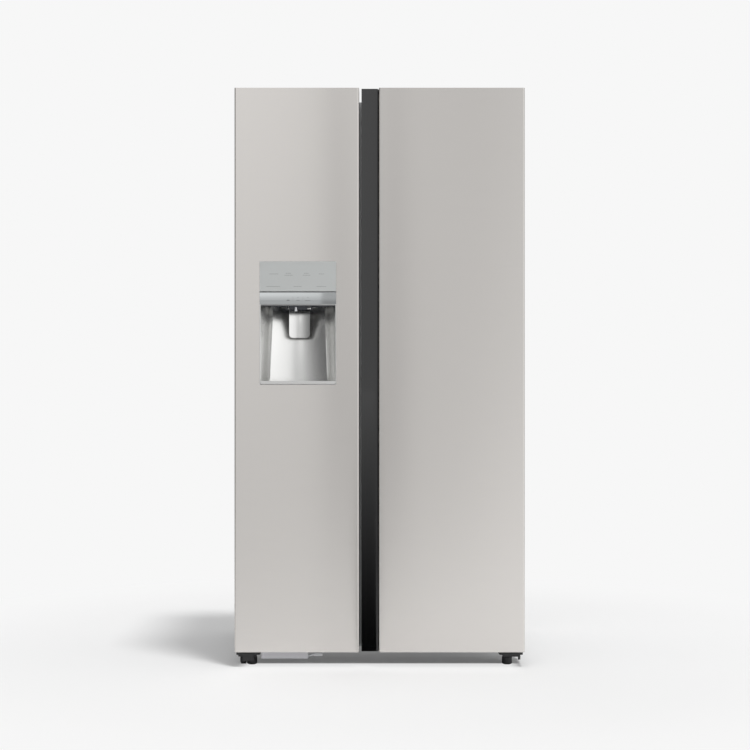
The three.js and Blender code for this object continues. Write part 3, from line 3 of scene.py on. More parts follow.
import bmesh
import bpy
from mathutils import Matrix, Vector


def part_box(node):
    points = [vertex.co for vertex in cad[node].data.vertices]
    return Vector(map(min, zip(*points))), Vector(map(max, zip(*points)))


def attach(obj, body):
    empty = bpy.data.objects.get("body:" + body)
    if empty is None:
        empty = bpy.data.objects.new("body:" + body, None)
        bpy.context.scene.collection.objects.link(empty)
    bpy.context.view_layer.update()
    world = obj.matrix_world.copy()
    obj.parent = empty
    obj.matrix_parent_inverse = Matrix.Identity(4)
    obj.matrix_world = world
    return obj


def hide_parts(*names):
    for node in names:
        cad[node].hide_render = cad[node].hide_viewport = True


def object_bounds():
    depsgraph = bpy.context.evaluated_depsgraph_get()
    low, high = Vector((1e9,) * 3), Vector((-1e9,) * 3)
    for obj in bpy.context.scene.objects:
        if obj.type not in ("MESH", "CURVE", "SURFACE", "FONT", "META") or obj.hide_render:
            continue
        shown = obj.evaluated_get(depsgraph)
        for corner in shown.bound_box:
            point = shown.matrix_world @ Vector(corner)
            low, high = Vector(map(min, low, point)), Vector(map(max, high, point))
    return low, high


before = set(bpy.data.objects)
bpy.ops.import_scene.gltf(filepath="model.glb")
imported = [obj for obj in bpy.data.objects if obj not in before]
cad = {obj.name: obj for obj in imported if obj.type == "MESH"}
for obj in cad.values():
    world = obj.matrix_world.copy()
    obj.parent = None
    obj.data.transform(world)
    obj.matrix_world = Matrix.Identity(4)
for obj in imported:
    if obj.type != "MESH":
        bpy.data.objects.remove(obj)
cad_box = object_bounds()
bpy.ops.object.select_all(action="DESELECT")

# Camera. The photograph was taken straight on with a long lens, half way up the doors,
# so the edges of both doors stay upright and level.
camera_distance = 5.0
camera_side = -0.0143
camera_height = 0.9009
sensor_width, lens_length = 36, 77.9
front_of_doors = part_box("freezer_door_skin")[0].y
bpy.ops.object.camera_add(
    location=(camera_side, front_of_doors - camera_distance, camera_height),
    rotation=(math.radians(90), 0, 0))
camera = bpy.context.object
camera.name = "camera"
camera.data.sensor_fit = "HORIZONTAL"
camera.data.sensor_width = sensor_width
camera.data.lens = lens_length
bpy.context.scene.camera = camera
bpy.context.scene.view_settings.view_transform = "Standard"

# Studio floor. Pale painted boards, matt round the object so that they hold its shadow, and
# as bright as the backdrop further out. Polished metal mirrors boards and walls in other tones.
# Before the doors and under the cabinet the boards glow with painted light that lifts the shade there.
backdrop_tone = 0.93
floor_white = 0.86
floor_size = 200
# Metres from the middle of the floor over which the boards turn into backdrop, for the camera and
# for polished metal, and over which the mirrored boards take on their tone far away.
camera_fade, polished_fade, far_fade = (1.15, 1.9), (0.5, 0.95), (1.7, 3.4)
# Tone of the mirrored boards close by, at this distance to the left and to the right.
near_boards, near_reach = (0.80, 1.0), 0.6
# Painted light that lifts the shade: the share of the backdrop's tone the boards glow with before the doors,
# and under the cabinet's front and back.
front_painted_light, under_painted_light = 0.78, (0.10, 0.20)
# Metres behind the doors' front between which each share grows or fades, then the same to the side.
glow_starts, glow_ends = (-0.14, -0.01), (0.5725, 0.7325)
foot_line, under_line, glow_sides = (0.055, 0.085), (0.10, 0.32), (0.40, 0.455)
# Each stop: degrees round from the camera, then the tone of the boards, of the wall low down and
# of the wall higher up.
mirrored_tones = [
    (-180, 0.84, 0.84, 0.84), (-135, 0.3, 0.3, 0.3), (-106, 0.2, 0.2, 0.2), (-77, 0.14, 0.16, 0.16),
    (-60, 0.14, 0.16, 0.16), (-48, 0.18, 0.2, 0.2), (-36, 0.27, 0.29, 0.29), (-26, 0.40, 0.42, 0.42),
    (-15, 0.56, 0.58, 0.6), (-6, 0.60, 0.75, 1.1), (5, 0.64, 0.71, 0.63), (13, 0.95, 1.0, 1.0),
    (28, 1.05, 1.1, 1.1), (50, 1.1, 1.25, 1.25), (74, 1.1, 1.25, 1.25), (86, 0.4, 0.3, 0.3),
    (108, 0.4, 0.3, 0.3), (125, 0.84, 0.84, 0.84), (180, 0.84, 0.84, 0.84)]


def emptied(data):
    """The node tree of a material or world, with nothing in it."""
    data.use_nodes = True
    data.node_tree.nodes.clear()
    return data.node_tree


def feed(tree, value, socket):
    """Give a socket its value: a number, or what another node puts out."""
    if isinstance(value, (int, float)):
        socket.default_value = value
    else:
        tree.links.new(value, socket)


def maths(tree, operation, *values):
    """One maths node on one to three values."""
    step = tree.nodes.new("ShaderNodeMath")
    step.operation = operation
    for socket, value in zip(step.inputs, values):
        feed(tree, value, socket)
    return step.outputs["Value"]


def ramp(tree, source, low, high, start=0.0, end=1.0):
    """A value that eases from start to end while source goes from low to high."""
    step = tree.nodes.new("ShaderNodeMapRange")
    step.interpolation_type = "SMOOTHSTEP"
    feed(tree, source, step.inputs["Value"])
    step.inputs["From Min"].default_value = low
    step.inputs["From Max"].default_value = high
    step.inputs["To Min"].default_value = start
    step.inputs["To Max"].default_value = end
    return step.outputs["Result"]


def blend(tree, factor, first, second):
    """A value that goes from first to second as factor goes from 0 to 1."""
    step = tree.nodes.new("ShaderNodeMix")
    step.data_type = "FLOAT"
    for socket, value in (("Factor", factor), ("A", first), ("B", second)):
        feed(tree, value, step.inputs[socket])
    return step.outputs["Result"]


def place_of(tree, kind="Object"):
    """Where a point lies, as a vector and as its X, Y and Z."""
    where = tree.nodes.new("ShaderNodeTexCoord").outputs[kind]
    split = tree.nodes.new("ShaderNodeSeparateXYZ")
    tree.links.new(where, split.inputs["Vector"])
    return where, split.outputs


def tones_group():
    """The three mirrored tones in a direction, looked up by its turn round the upright axis."""
    group = bpy.data.node_groups.new("mirrored_tones", "ShaderNodeTree")
    group.interface.new_socket(name="Direction", in_out="INPUT", socket_type="NodeSocketVector")
    given = group.nodes.new("NodeGroupInput")
    split = group.nodes.new("ShaderNodeSeparateXYZ")
    group.links.new(given.outputs["Direction"], split.inputs["Vector"])
    ahead = maths(group, "MULTIPLY", split.outputs["Y"], -1.0)
    turn = maths(group, "ARCTAN2", split.outputs["X"], ahead)
    around = group.nodes.new("ShaderNodeValToRGB")
    around.color_ramp.interpolation = "EASE"
    while len(around.color_ramp.elements) < len(mirrored_tones):
        around.color_ramp.elements.new(1.0)
    for stop, (degrees, *stop_tones) in zip(around.color_ramp.elements, mirrored_tones):
        stop.position = 0.5 + degrees / 360
        stop.color = (*stop_tones, 1)
    group.links.new(maths(group, "MULTIPLY_ADD", turn, 0.5 / math.pi, 0.5), around.inputs["Fac"])
    three = group.nodes.new("ShaderNodeSeparateColor")
    group.links.new(around.outputs["Color"], three.inputs["Color"])
    out = group.nodes.new("NodeGroupOutput")
    for name, channel in (("Boards", "Red"), ("Low wall", "Green"), ("High wall", "Blue")):
        group.interface.new_socket(name=name, in_out="OUTPUT", socket_type="NodeSocketFloat")
        group.links.new(three.outputs[channel], out.inputs[name])
    return group


tones = tones_group()


def tones_towards(tree, direction):
    """The tones that lie in a direction, by name."""
    look = tree.nodes.new("ShaderNodeGroup")
    look.node_tree = tones
    tree.links.new(direction, look.inputs["Direction"])
    return look.outputs


paint = bpy.data.materials.new("floor_paint")
tree = emptied(paint)
place, (place_x, place_y, _) = place_of(tree)
reach = tree.nodes.new("ShaderNodeVectorMath")
reach.operation = "LENGTH"
tree.links.new(place, reach.inputs[0])
reach = reach.outputs["Value"]
from_doors = tree.nodes.new("ShaderNodeVectorMath")
from_doors.operation = "SUBTRACT"
from_doors.inputs[1].default_value = (0, front_of_doors, 0)
tree.links.new(place, from_doors.inputs[0])
behind = maths(tree, "SUBTRACT", place_y, front_of_doors)
# Painted light on the boards before the doors and under the cabinet, which lifts the shade falling there.
painted_lift = maths(tree, "ADD", ramp(tree, behind, *foot_line, front_painted_light, under_painted_light[0]),
                ramp(tree, behind, *under_line, 0.0, under_painted_light[1] - under_painted_light[0]))
for limit in (ramp(tree, maths(tree, "ABSOLUTE", place_x), *glow_sides, 1.0, 0.0),
              ramp(tree, behind, *glow_starts), ramp(tree, behind, *glow_ends, 1.0, 0.0)):
    painted_lift = maths(tree, "MULTIPLY", painted_lift, limit)
seen = tree.nodes.new("ShaderNodeLightPath").outputs
shown = maths(tree, "MAXIMUM", ramp(tree, reach, *camera_fade), painted_lift)
shown = maths(tree, "MULTIPLY", shown, seen["Is Camera Ray"])
polished = maths(tree, "MULTIPLY", ramp(tree, reach, *polished_fade), seen["Is Glossy Ray"])
mirrored = blend(tree, ramp(tree, reach, *far_fade), ramp(tree, place_x, -near_reach, near_reach, *near_boards),
                 tones_towards(tree, from_doors.outputs["Vector"])["Boards"])
glow = tree.nodes.new("ShaderNodeEmission")
feed(tree, blend(tree, seen["Is Glossy Ray"], backdrop_tone, mirrored), glow.inputs["Strength"])
matt = tree.nodes.new("ShaderNodeBsdfDiffuse")
matt.inputs["Color"].default_value = (floor_white, floor_white, floor_white, 1)
mixed = tree.nodes.new("ShaderNodeMixShader")
feed(tree, maths(tree, "MAXIMUM", shown, polished), mixed.inputs["Fac"])
tree.links.new(matt.outputs["BSDF"], mixed.inputs[1])
tree.links.new(glow.outputs["Emission"], mixed.inputs[2])
surface = tree.nodes.new("ShaderNodeOutputMaterial")
tree.links.new(mixed.outputs["Shader"], surface.inputs["Surface"])
bpy.ops.mesh.primitive_plane_add(size=floor_size)
floor = bpy.context.object
floor.name = "studio_floor"
floor.data.materials.append(paint)

# Studio light. An even pale sky of light, and a wide lamp high at the front right that lays the
# shadow to the left. In polished metal the sky shows the studio's walls instead.
sky_light = 0.68
low_wall_ends = 0.2
sky = bpy.data.worlds.new("studio_sky")
bpy.context.scene.world = sky
tree = emptied(sky)
seen = tree.nodes.new("ShaderNodeLightPath").outputs
heading, (_, _, upwards) = place_of(tree, "Generated")
wall = tones_towards(tree, heading)
walls = blend(tree, ramp(tree, upwards, 0.0, low_wall_ends), wall["Low wall"], wall["High wall"])
mirrored = blend(tree, seen["Is Glossy Ray"], sky_light, walls)
air = tree.nodes.new("ShaderNodeBackground")
air.inputs["Color"].default_value = (1, 1, 1, 1)
feed(tree, blend(tree, seen["Is Camera Ray"], mirrored, backdrop_tone), air.inputs["Strength"])
surface = tree.nodes.new("ShaderNodeOutputWorld")
tree.links.new(air.outputs["Background"], surface.inputs["Surface"])
lamp_from = Vector((0.336, -0.415, 1.786))
lamp_strength, lamp_angle = 1.32, math.radians(9)
bpy.ops.object.light_add(type="SUN", location=lamp_from * 3)
lamp = bpy.context.object
lamp.name = "key_lamp"
lamp.data.energy = lamp_strength
lamp.data.angle = lamp_angle
lamp.rotation_euler = lamp_from.to_track_quat("Z", "Y").to_euler()

# Stands. Two grey cards stand behind the camera, darker at the foot. Only polished surfaces show
# them, as the soft dark bands that run down the doors.
stand_grey, stand_fade = (0.36, 0.56), (-0.38, 0.0)
stand_height, stand_middle, stand_setback = 3.2, 1.6, 0.3
stands = [("left_stand", -0.262, 0.12), ("right_stand", 0.09, 0.16)]


def glowing(name):
    """A material that only glows: itself, its tree, where its points lie, and its strength."""
    made = bpy.data.materials.new(name)
    tree = emptied(made)
    glow = tree.nodes.new("ShaderNodeEmission")
    surface = tree.nodes.new("ShaderNodeOutputMaterial")
    tree.links.new(glow.outputs["Emission"], surface.inputs["Surface"])
    return made, tree, place_of(tree)[1], glow.inputs["Strength"]


def mirrored_only(prop, material):
    """A stage property that polished surfaces mirror, and that neither shades nor lights the rest."""
    prop.visible_camera = False
    prop.visible_diffuse = False
    prop.visible_shadow = False
    prop.visible_transmission = False
    prop.data.materials.append(material)


grey, tree, split, strength = glowing("stand_grey")
feed(tree, ramp(tree, split["Y"], *stand_fade, *stand_grey), strength)
for name, side, width in stands:
    bpy.ops.mesh.primitive_plane_add(
        size=1, location=(side, front_of_doors - camera_distance - stand_setback, stand_middle))
    stand = bpy.context.object
    stand.name = name
    stand.scale = (width, stand_height, 1)
    stand.rotation_euler = (math.radians(90), 0, 0)
    mirrored_only(stand, grey)

# Runner. A narrow black strip on the floor, from the doors to far behind the camera. It fans out
# from the camera's foot point mirrored in the doors, pales with distance, and shows in polish only.
runner_sides = (-0.0105, 0.001)
runner_near, runner_far = 0.05, 90.0
runner_lift = 0.002
paling_starts, paling_power = 0.3, 1.7
black, tree, split, strength = glowing("runner_black")
out_front = maths(tree, "SUBTRACT", front_of_doors, split["Y"])
paling = maths(tree, "DIVIDE", maths(tree, "SUBTRACT", out_front, paling_starts),
               maths(tree, "ADD", out_front, camera_distance))
paling = maths(tree, "POWER", maths(tree, "MAXIMUM", paling, 0.0), paling_power)
feed(tree, maths(tree, "MULTIPLY", paling, backdrop_tone), strength)
bpy.ops.mesh.primitive_plane_add(size=2)
runner = bpy.context.object
runner.name = "black_runner"
for corner in runner.data.vertices:
    out_front = runner_far if corner.co.y < 0 else runner_near
    side = runner_sides[0] if corner.co.x < 0 else runner_sides[1]
    across = camera_side + side * (camera_distance + out_front)
    corner.co = (across, front_of_doors - out_front, runner_lift)
mirrored_only(runner, black)

# Outer shell. Sheet steel folded over the top and sides of the cabinet, sprayed grey, with a
# fine orange peel in its paint.


def marks_group(name, inputs):
    """A node group with the inputs named, that puts out a colour, a roughness and a height."""
    group = bpy.data.node_groups.new(name, "ShaderNodeTree")
    kinds = {"Vector": "NodeSocketVector", "Color": "NodeSocketColor"}
    for way, sockets in (("INPUT", inputs), ("OUTPUT", ("Color", "Roughness", "Height"))):
        for socket in sockets:
            kind = kinds.get(socket, "NodeSocketFloat")
            group.interface.new_socket(name=socket, in_out=way, socket_type=kind)
    return group, group.nodes.new("NodeGroupInput").outputs, group.nodes.new("NodeGroupOutput").inputs


def noise(tree, vector, scale, detail, roughness=0.5):
    """A noise, from 0 to 1."""
    made = tree.nodes.new("ShaderNodeTexNoise")
    made.inputs["Detail"].default_value = detail
    made.inputs["Roughness"].default_value = roughness
    feed(tree, scale, made.inputs["Scale"])
    tree.links.new(vector, made.inputs["Vector"])
    return made.outputs["Fac"]


def put_out(tree, given, out, pattern, height):
    """Let a pattern shift the tone and the roughness given to a group, and put them out with a height."""
    shift = maths(tree, "SUBTRACT", pattern, 0.5)
    shift = maths(tree, "MULTIPLY_ADD", shift, given["Shift"], 1)
    tinted = tree.nodes.new("ShaderNodeVectorMath")
    tinted.operation = "SCALE"
    tree.links.new(given["Color"], tinted.inputs[0])
    tree.links.new(shift, tinted.inputs["Scale"])
    tree.links.new(tinted.outputs["Vector"], out["Color"])
    tree.links.new(maths(tree, "MULTIPLY", given["Roughness"], shift), out["Roughness"])
    tree.links.new(height, out["Height"])


def speckle_group():
    """Fine moulded or sprayed texture, over a broad shift in tone."""
    group, given, out = marks_group("surface_speckle", ("Vector", "Grain", "Color", "Shift", "Roughness"))
    fine = noise(group, given["Vector"], given["Grain"], 3)
    broad = noise(group, given["Vector"], 4, 4)
    put_out(group, given, out, broad, fine)
    return group


speckle = speckle_group()


def marked(name, group, colour, roughness, marks, relief, sockets):
    """A material with a group of marks on it, a relief as strength and depth, and its shader's sockets."""
    made = bpy.data.materials.new(name)
    made.use_nodes = True
    nodes, links = made.node_tree.nodes, made.node_tree.links
    shader = nodes["Principled BSDF"]
    where = nodes.new("ShaderNodeTexCoord")
    drawn = nodes.new("ShaderNodeGroup")
    drawn.node_tree = group
    drawn.inputs["Color"].default_value = (*colour, 1)
    drawn.inputs["Roughness"].default_value = roughness
    for socket, value in marks.items():
        drawn.inputs[socket].default_value = value
    links.new(where.outputs["Object"], drawn.inputs["Vector"])
    links.new(drawn.outputs["Color"], shader.inputs["Base Color"])
    links.new(drawn.outputs["Roughness"], shader.inputs["Roughness"])
    if relief:
        bump = nodes.new("ShaderNodeBump")
        bump.inputs["Strength"].default_value, bump.inputs["Distance"].default_value = relief
        links.new(drawn.outputs["Height"], bump.inputs["Height"])
        links.new(bump.outputs["Normal"], shader.inputs["Normal"])
    for socket, value in sockets.items():
        shader.inputs[socket].default_value = value
    return made


def textured(name, colour, roughness, grain=900, depth=0.00002, shift=0.06, **sockets):
    """A material of one colour with a fine texture; the rest are the shader's own sockets."""
    return marked(name, speckle, colour, roughness, {"Grain": grain, "Shift": shift}, (0.5, depth), sockets)


def finish_nodes(material, *names):
    """Give the CAD nodes named their material."""
    for name in names:
        cad[name].data.materials.clear()
        cad[name].data.materials.append(material)


grey_paint = textured("grey_cabinet_paint", (0.50, 0.505, 0.51), 0.28, grain=700, Metallic=0.35)
finish_nodes(grey_paint, "outer_shell")

# Foam. Polyurethane, poured in as a liquid between shell and liners, where it sets and glues them
# together. It is pale yellow and open celled where it shows in the machine room.
foam = textured("cured_foam", (0.72, 0.60, 0.33), 0.95, grain=260, depth=0.0008, shift=0.25)
finish_nodes(foam, "insulation")

# Liners and cold air covers. White sheet with a soft gloss, thermoformed into both compartments and
# the backs of the doors. The covers are clipped over the evaporator and the duct.
liner_white = textured("liner_white", (0.84, 0.85, 0.86), 0.28, grain=500, depth=0.00001, shift=0.02)
finish_nodes(liner_white, "freezer_liner", "fridge_liner", "freezer_door_liner", "fridge_door_liner",
             "evaporator_cover", "air_duct")

# Rear sheets and base pan. Pressed steel, galvanised over the foam and under the cabinet, and painted
# black over the machine room. Screws hold the rear ones on.
galvanised = textured("galvanised_sheet", (0.50, 0.51, 0.52), 0.45, grain=60, shift=0.35, Metallic=1.0)
rear_black = textured("rear_black_paint", (0.05, 0.052, 0.055), 0.5)
finish_nodes(galvanised, "back_panel", "base_pan")
finish_nodes(rear_black, "rear_cover")

# Hinges. Thick pressed steel screwed to the cabinet, painted near black below and zinc plated above,
# where moulded covers are clipped over it. The condenser's fan is moulded from the same dark plastic.
hinge_black = textured("hinge_black_paint", (0.02, 0.02, 0.022), 0.45, grain=800)
zinc = textured("zinc_plate", (0.56, 0.57, 0.57), 0.35, grain=300, shift=0.15, Metallic=1.0)
moulded_dark = textured("dark_moulding", (0.028, 0.028, 0.030), 0.5, grain=1200, depth=0.00003)
finish_nodes(hinge_black, "left_bottom_hinge", "right_bottom_hinge")
finish_nodes(zinc, "left_top_hinge", "right_top_hinge")
finish_nodes(moulded_dark, "left_hinge_cover", "right_hinge_cover", "condenser_fan")

# Feet and rollers. Black nylon, moulded and dull from the floor. The feet screw up into the bottom
# hinges, and the rollers turn on axles between ears of the hinges and of the base pan.
nylon = textured("black_nylon", (0.022, 0.022, 0.025), 0.55, grain=400, depth=0.00004, shift=0.2)
finish_nodes(nylon, "left_foot", "right_foot", "left_front_roller", "right_front_roller",
             "left_rear_roller", "right_rear_roller")

# Water line. A milky tube with a grey push-fit coupler, whose end lies under the cabinet's front
# beside the grey painted plate that covers the rest of it.
tube_plastic = textured("tube_plastic", (0.62, 0.63, 0.64), 0.4, grain=600)
cover_grey = textured("line_cover_paint", (0.58, 0.575, 0.60), 0.4, grain=700)
finish_nodes(tube_plastic, "water_line")
finish_nodes(cover_grey, "water_line_cover")

# Cooling parts. An enamelled steel compressor and a painted condenser stand in the machine room. The
# evaporator's tubes and fins are aluminium, and its fan and the ice maker are moulded plastic.
compressor_enamel = textured("compressor_enamel", (0.012, 0.012, 0.013), 0.3, grain=500)
condenser_paint = textured("condenser_paint", (0.03, 0.031, 0.033), 0.5)
coil_aluminium = textured("coil_aluminium", (0.74, 0.75, 0.77), 0.3, grain=200, shift=0.2, Metallic=1.0)
fan_grey = textured("fan_grey", (0.55, 0.56, 0.57), 0.5)
finish_nodes(compressor_enamel, "compressor")
finish_nodes(condenser_paint, "condenser")
finish_nodes(coil_aluminium, "evaporator")
finish_nodes(fan_grey, "evaporator_fan", "ice_maker", "ice_chute")

# Shelves, drawers and bins. The shelves are float glass with a faint green tint, laid on the liners'
# ledges. Drawers and bins are moulded from clear plastic: drawers hang by their rims on the ledges,
# and bins sit between the side walls of the doors' liners.


def clear_material(name, colour, roughness, ior):
    """A clear material, with a faint unevenness."""
    return marked(name, speckle, colour, roughness, {"Grain": 80, "Shift": 0.03}, None,
                  {"Transmission Weight": 0.85, "IOR": ior})


shelf_glass = clear_material("shelf_glass", (0.80, 0.93, 0.90), 0.03, 1.5)
clear_plastic = clear_material("clear_plastic", (0.88, 0.93, 0.96), 0.08, 1.3)
glass_shelves = ("freezer_shelf_1", "freezer_shelf_2", "crisper_cover",
                 "fridge_shelf_1", "fridge_shelf_2", "fridge_shelf_3")
finish_nodes(shelf_glass, *glass_shelves)
finish_nodes(clear_plastic, "lower_freezer_drawer", "upper_freezer_drawer", "lower_crisper", "upper_crisper",
             "ice_bin", "freezer_door_bin_1", "freezer_door_bin_2",
             "fridge_door_bin_1", "fridge_door_bin_2", "fridge_door_bin_3")

# Door skins. Brushed stainless sheet folded round the doors' edges: fine level scratches, so
# reflections blur up and down, and the grain shows as faint lines and specks.
brush_stretch = (12, 12, 900)


def brushed_group():
    """Level brush marks: fine streaks that run along the sheet."""
    group, given, out = marks_group("brush_marks", ("Vector", "Color", "Shift", "Roughness"))
    stretch = group.nodes.new("ShaderNodeMapping")
    stretch.inputs["Scale"].default_value = brush_stretch
    group.links.new(given["Vector"], stretch.inputs["Vector"])
    streaks = noise(group, stretch.outputs["Vector"], 1, 5, roughness=0.7)
    put_out(group, given, out, streaks, streaks)
    return group


brush_marks = brushed_group()


def brushed_steel(name, colour, roughness, shift=0.10, depth=0.000004):
    """Brushed metal sheet."""
    return marked(name, brush_marks, colour, roughness, {"Shift": shift}, (0.4, depth), {"Metallic": 1})


door_steel = brushed_steel("door_steel", (0.72, 0.694, 0.669), 0.2)
grain = door_steel.node_tree.nodes.new("ShaderNodeTangent")
grain.direction_type = "RADIAL"
grain.axis = "Z"
shader = door_steel.node_tree.nodes["Principled BSDF"]
shader.inputs["Anisotropic"].default_value = 1
shader.inputs["Anisotropic Rotation"].default_value = 0.25
door_steel.node_tree.links.new(grain.outputs["Tangent"], shader.inputs["Tangent"])
finish_nodes(door_steel, "freezer_door_skin", "fridge_door_skin")

# Door frames and seals. Moulded end caps and grips close the doors' edges: gloss black in the finger
# channel, grey on the freezer door. The soft magnetic seals are pushed into a groove of the liners.
channel_black = textured("channel_black", (0.003, 0.003, 0.0033), 0.03, grain=1500, depth=0.000003, IOR=1.74)
cap_grey = textured("cap_grey", (0.50, 0.50, 0.51), 0.45, grain=1100)
seal = textured("seal_rubber", (0.50, 0.51, 0.52), 0.7, grain=500)
finish_nodes(channel_black, "fridge_door_frame")
finish_nodes(cap_grey, "freezer_door_frame")
finish_nodes(seal, "freezer_door_gasket", "fridge_door_gasket")

# Control panel. A silver painted touch panel, glued flush into the freezer door above the niche,
# with rows of faint printed dashes where its words stand.
panel_silver = textured("panel_silver", (0.50, 0.515, 0.51), 0.3, grain=1500, depth=0.00001, shift=0.02)
finish_nodes(panel_silver, "control_panel")
# Places closer than a hair count as one. Small turned pieces get their edges broken by edge_break.
hair, edge_break = 0.0001, 0.0004
ink_depth = 0.00004
mark_ink = textured("mark_ink", (0.20, 0.205, 0.21), 0.5, grain=1500, depth=0.00001)
# Each word is a run of short dashes: its left and right end and its height, in mm.
panel_words = [
    (-340.0, -312.3, 1212.2), (-289.3, -273.2, 1214.2), (-293.6, -267.6, 1208.2), (-233.1, -218.3, 1214.2),
    (-237.4, -213.1, 1208.2), (-187.5, -170.9, 1212.2), (-349.2, -306.4, 1173.6), (-265.2, -240.5, 1173.6),
    (-194.3, -164.7, 1173.6)]
dash_pitch, dash_share, dash_height, dash_round = 0.0052, 0.78, 0.0013, 0.4


def new_piece(name):
    """The object just added, with its place and size put into its mesh, in edit mode."""
    piece = bpy.context.object
    piece.name = name
    bpy.ops.object.transform_apply(location=True, rotation=True, scale=True)
    bpy.ops.object.mode_set(mode="EDIT")
    return piece


def block(name, middle, size, rotation=(0, 0, 0)):
    """A cuboid in edit mode, from its middle and its size along X, Y and Z."""
    bpy.ops.mesh.primitive_cube_add(size=1, location=middle, rotation=rotation, scale=size)
    return new_piece(name)


def pick(piece, kind, test):
    """Select the corners, edges or faces of a piece in edit mode whose place passes the test."""
    bpy.ops.mesh.select_mode(type=kind)
    bpy.ops.mesh.select_all(action="DESELECT")
    shape = bmesh.from_edit_mesh(piece.data)
    if kind == "VERT":
        for corner in shape.verts:
            corner.select_set(test(corner.co))
    elif kind == "EDGE":
        for edge in shape.edges:
            edge.select_set(test(edge.verts[0].co, edge.verts[1].co))
    else:
        for face in shape.faces:
            face.select_set(test(face.calc_center_median(), face.normal))
    shape.select_flush_mode()
    bmesh.update_edit_mesh(piece.data)


def hold(*pieces):
    """Leave edit mode with only these pieces selected and the first of them active."""
    bpy.ops.object.mode_set(mode="OBJECT")
    bpy.ops.object.select_all(action="DESELECT")
    for piece in pieces:
        piece.select_set(True)
    bpy.context.view_layer.objects.active = pieces[0]


def apply(piece, kind, **settings):
    """Add one modifier to the piece held, and apply it."""
    step = piece.modifiers.new(kind.lower(), kind)
    for setting, value in settings.items():
        setattr(step, setting, value)
    bpy.ops.object.modifier_apply(modifier=step.name)


def finished(piece, material, body, slot, smooth=35, **bevel):
    """Break a piece's edges if a bevel is given, shade it smooth, and let it ride on its body."""
    bpy.ops.object.mode_set(mode="OBJECT")
    if bevel:
        apply(piece, "BEVEL", **bevel)
    bpy.ops.object.shade_smooth_by_angle(angle=math.radians(smooth))
    piece.data.materials.clear()
    piece.data.materials.append(material)
    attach(piece, body)
    bpy.ops.object.select_all(action="DESELECT")
    return piece


def printed_marks(name, front, marks, body, slant=0.0):
    """One piece of printed dashes: each (x, z, length, height) becomes a thin plate with round ends."""
    dashes = []
    for x, z, length, height in marks:
        middle = (x, front + slant * (x - panel_low.x), z)
        dash = block(name, middle, (length, 2 * ink_depth, height))
        pick(dash, "EDGE", lambda a, b: abs(a.y - b.y) > ink_depth)
        bpy.ops.mesh.bevel(offset=min(length, height) * dash_round, segments=3, affect="EDGES")
        bpy.ops.object.mode_set(mode="OBJECT")
        dashes.append(dash)
    hold(*dashes)
    bpy.ops.object.join()
    return finished(dashes[0], mark_ink, body, "grey_plastic")


panel_low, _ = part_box("control_panel")
panel_dashes = []
for left, right, height in panel_words:
    count = max(2, round((right - left) / 1000 / dash_pitch))
    step = (right - left) / 1000 / count
    panel_dashes += [(left / 1000 + (k + 0.5) * step, height / 1000, step * dash_share, dash_height)
                     for k in range(count)]
printed_marks("panel_marks", panel_low.y, panel_dashes, "freezer_door")

# Bar. A strip of polished metal with rolled edges, pressed on under the panel and turned a little
# to the right, with small marks over the nozzle and fine lines between them.
bar_low, bar_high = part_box("dispenser_bar")
bar_setback, bar_slant, bar_roll = 0.0003, 0.0007, 0.0016
bar_front = bar_low.y + bar_setback
bar_strip = block(
    "bar_strip", ((bar_low.x + bar_high.x) / 2, (bar_front + bar_high.y) / 2, (bar_low.z + bar_high.z) / 2),
    (bar_high.x - bar_low.x, bar_high.y - bar_front, bar_high.z - bar_low.z))
pick(bar_strip, "VERT", lambda co: co.y < bar_front + hair and co.x > bar_low.x + hair)
bpy.ops.transform.translate(value=(0, bar_slant, 0))
pick(bar_strip, "EDGE", lambda a, b: max(a.y, b.y) < bar_front + 10 * hair and abs(a.z - b.z) < hair)
bpy.ops.mesh.bevel(offset=bar_roll, segments=4, affect="EDGES")
bar_metal = brushed_steel("bar_metal", (0.58, 0.60, 0.605), 0.035, shift=0.02, depth=0.000001)
finished(bar_strip, bar_metal, "freezer_door", "bright_steel")
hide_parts("dispenser_bar")
finish_nodes(bar_metal, "dispenser_bar")
bar_marks = [
    (-0.2818, 1.1313, 0.0098, 0.0030), (-0.2515, 1.1310, 0.0100, 0.0014), (-0.2212, 1.1310, 0.0170, 0.0014),
    (-0.2515, 1.1400, 0.0022, 0.0022), (-0.2212, 1.1400, 0.0022, 0.0022), (-0.2670, 1.1370, 0.0005, 0.0110),
    (-0.2362, 1.1370, 0.0005, 0.0110)]
printed_marks("bar_marks", bar_front, bar_marks, "freezer_door", bar_slant / (bar_high.x - bar_low.x))

# Niche. One sheet of bright metal drawn into a hollow and set into the door from the front: straight
# side walls that lean together, and a hollowed back that leans further back towards the ceiling.
niche_low, niche_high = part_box("dispenser_niche")
sheet = 0.002
floor_share = 0.724
wall_splay, hollow_drop = 0.019, 0.026
niche_narrowing, niche_lean_power, niche_levels = 0.11, 3, 14
hollow_edge, niche_lip = 0.012, 0.0018
niche_x = (niche_low.x + niche_high.x) / 2
mouth_half = (niche_high.x - niche_low.x) / 2 - sheet
niche_floor, niche_ceiling = niche_low.z + sheet, niche_high.z - sheet
niche_height = niche_ceiling - niche_floor
back_depth = niche_high.y - niche_low.y - sheet
floor_depth = back_depth * floor_share
hollow_half = mouth_half - wall_splay
hollow_radius = (hollow_half ** 2 + hollow_drop ** 2) / (2 * hollow_drop)
hollow_from = niche_low.y + floor_depth - hollow_drop
bpy.ops.mesh.primitive_circle_add(
    vertices=240, radius=hollow_radius,
    location=(niche_x, niche_low.y + floor_depth - hollow_radius, niche_floor))
niche_shell = new_piece("niche_shell")
bpy.ops.mesh.select_all(action="SELECT")
bpy.ops.mesh.bisect(plane_co=(niche_x, hollow_from, niche_floor), plane_no=(0, 1, 0), clear_inner=True)
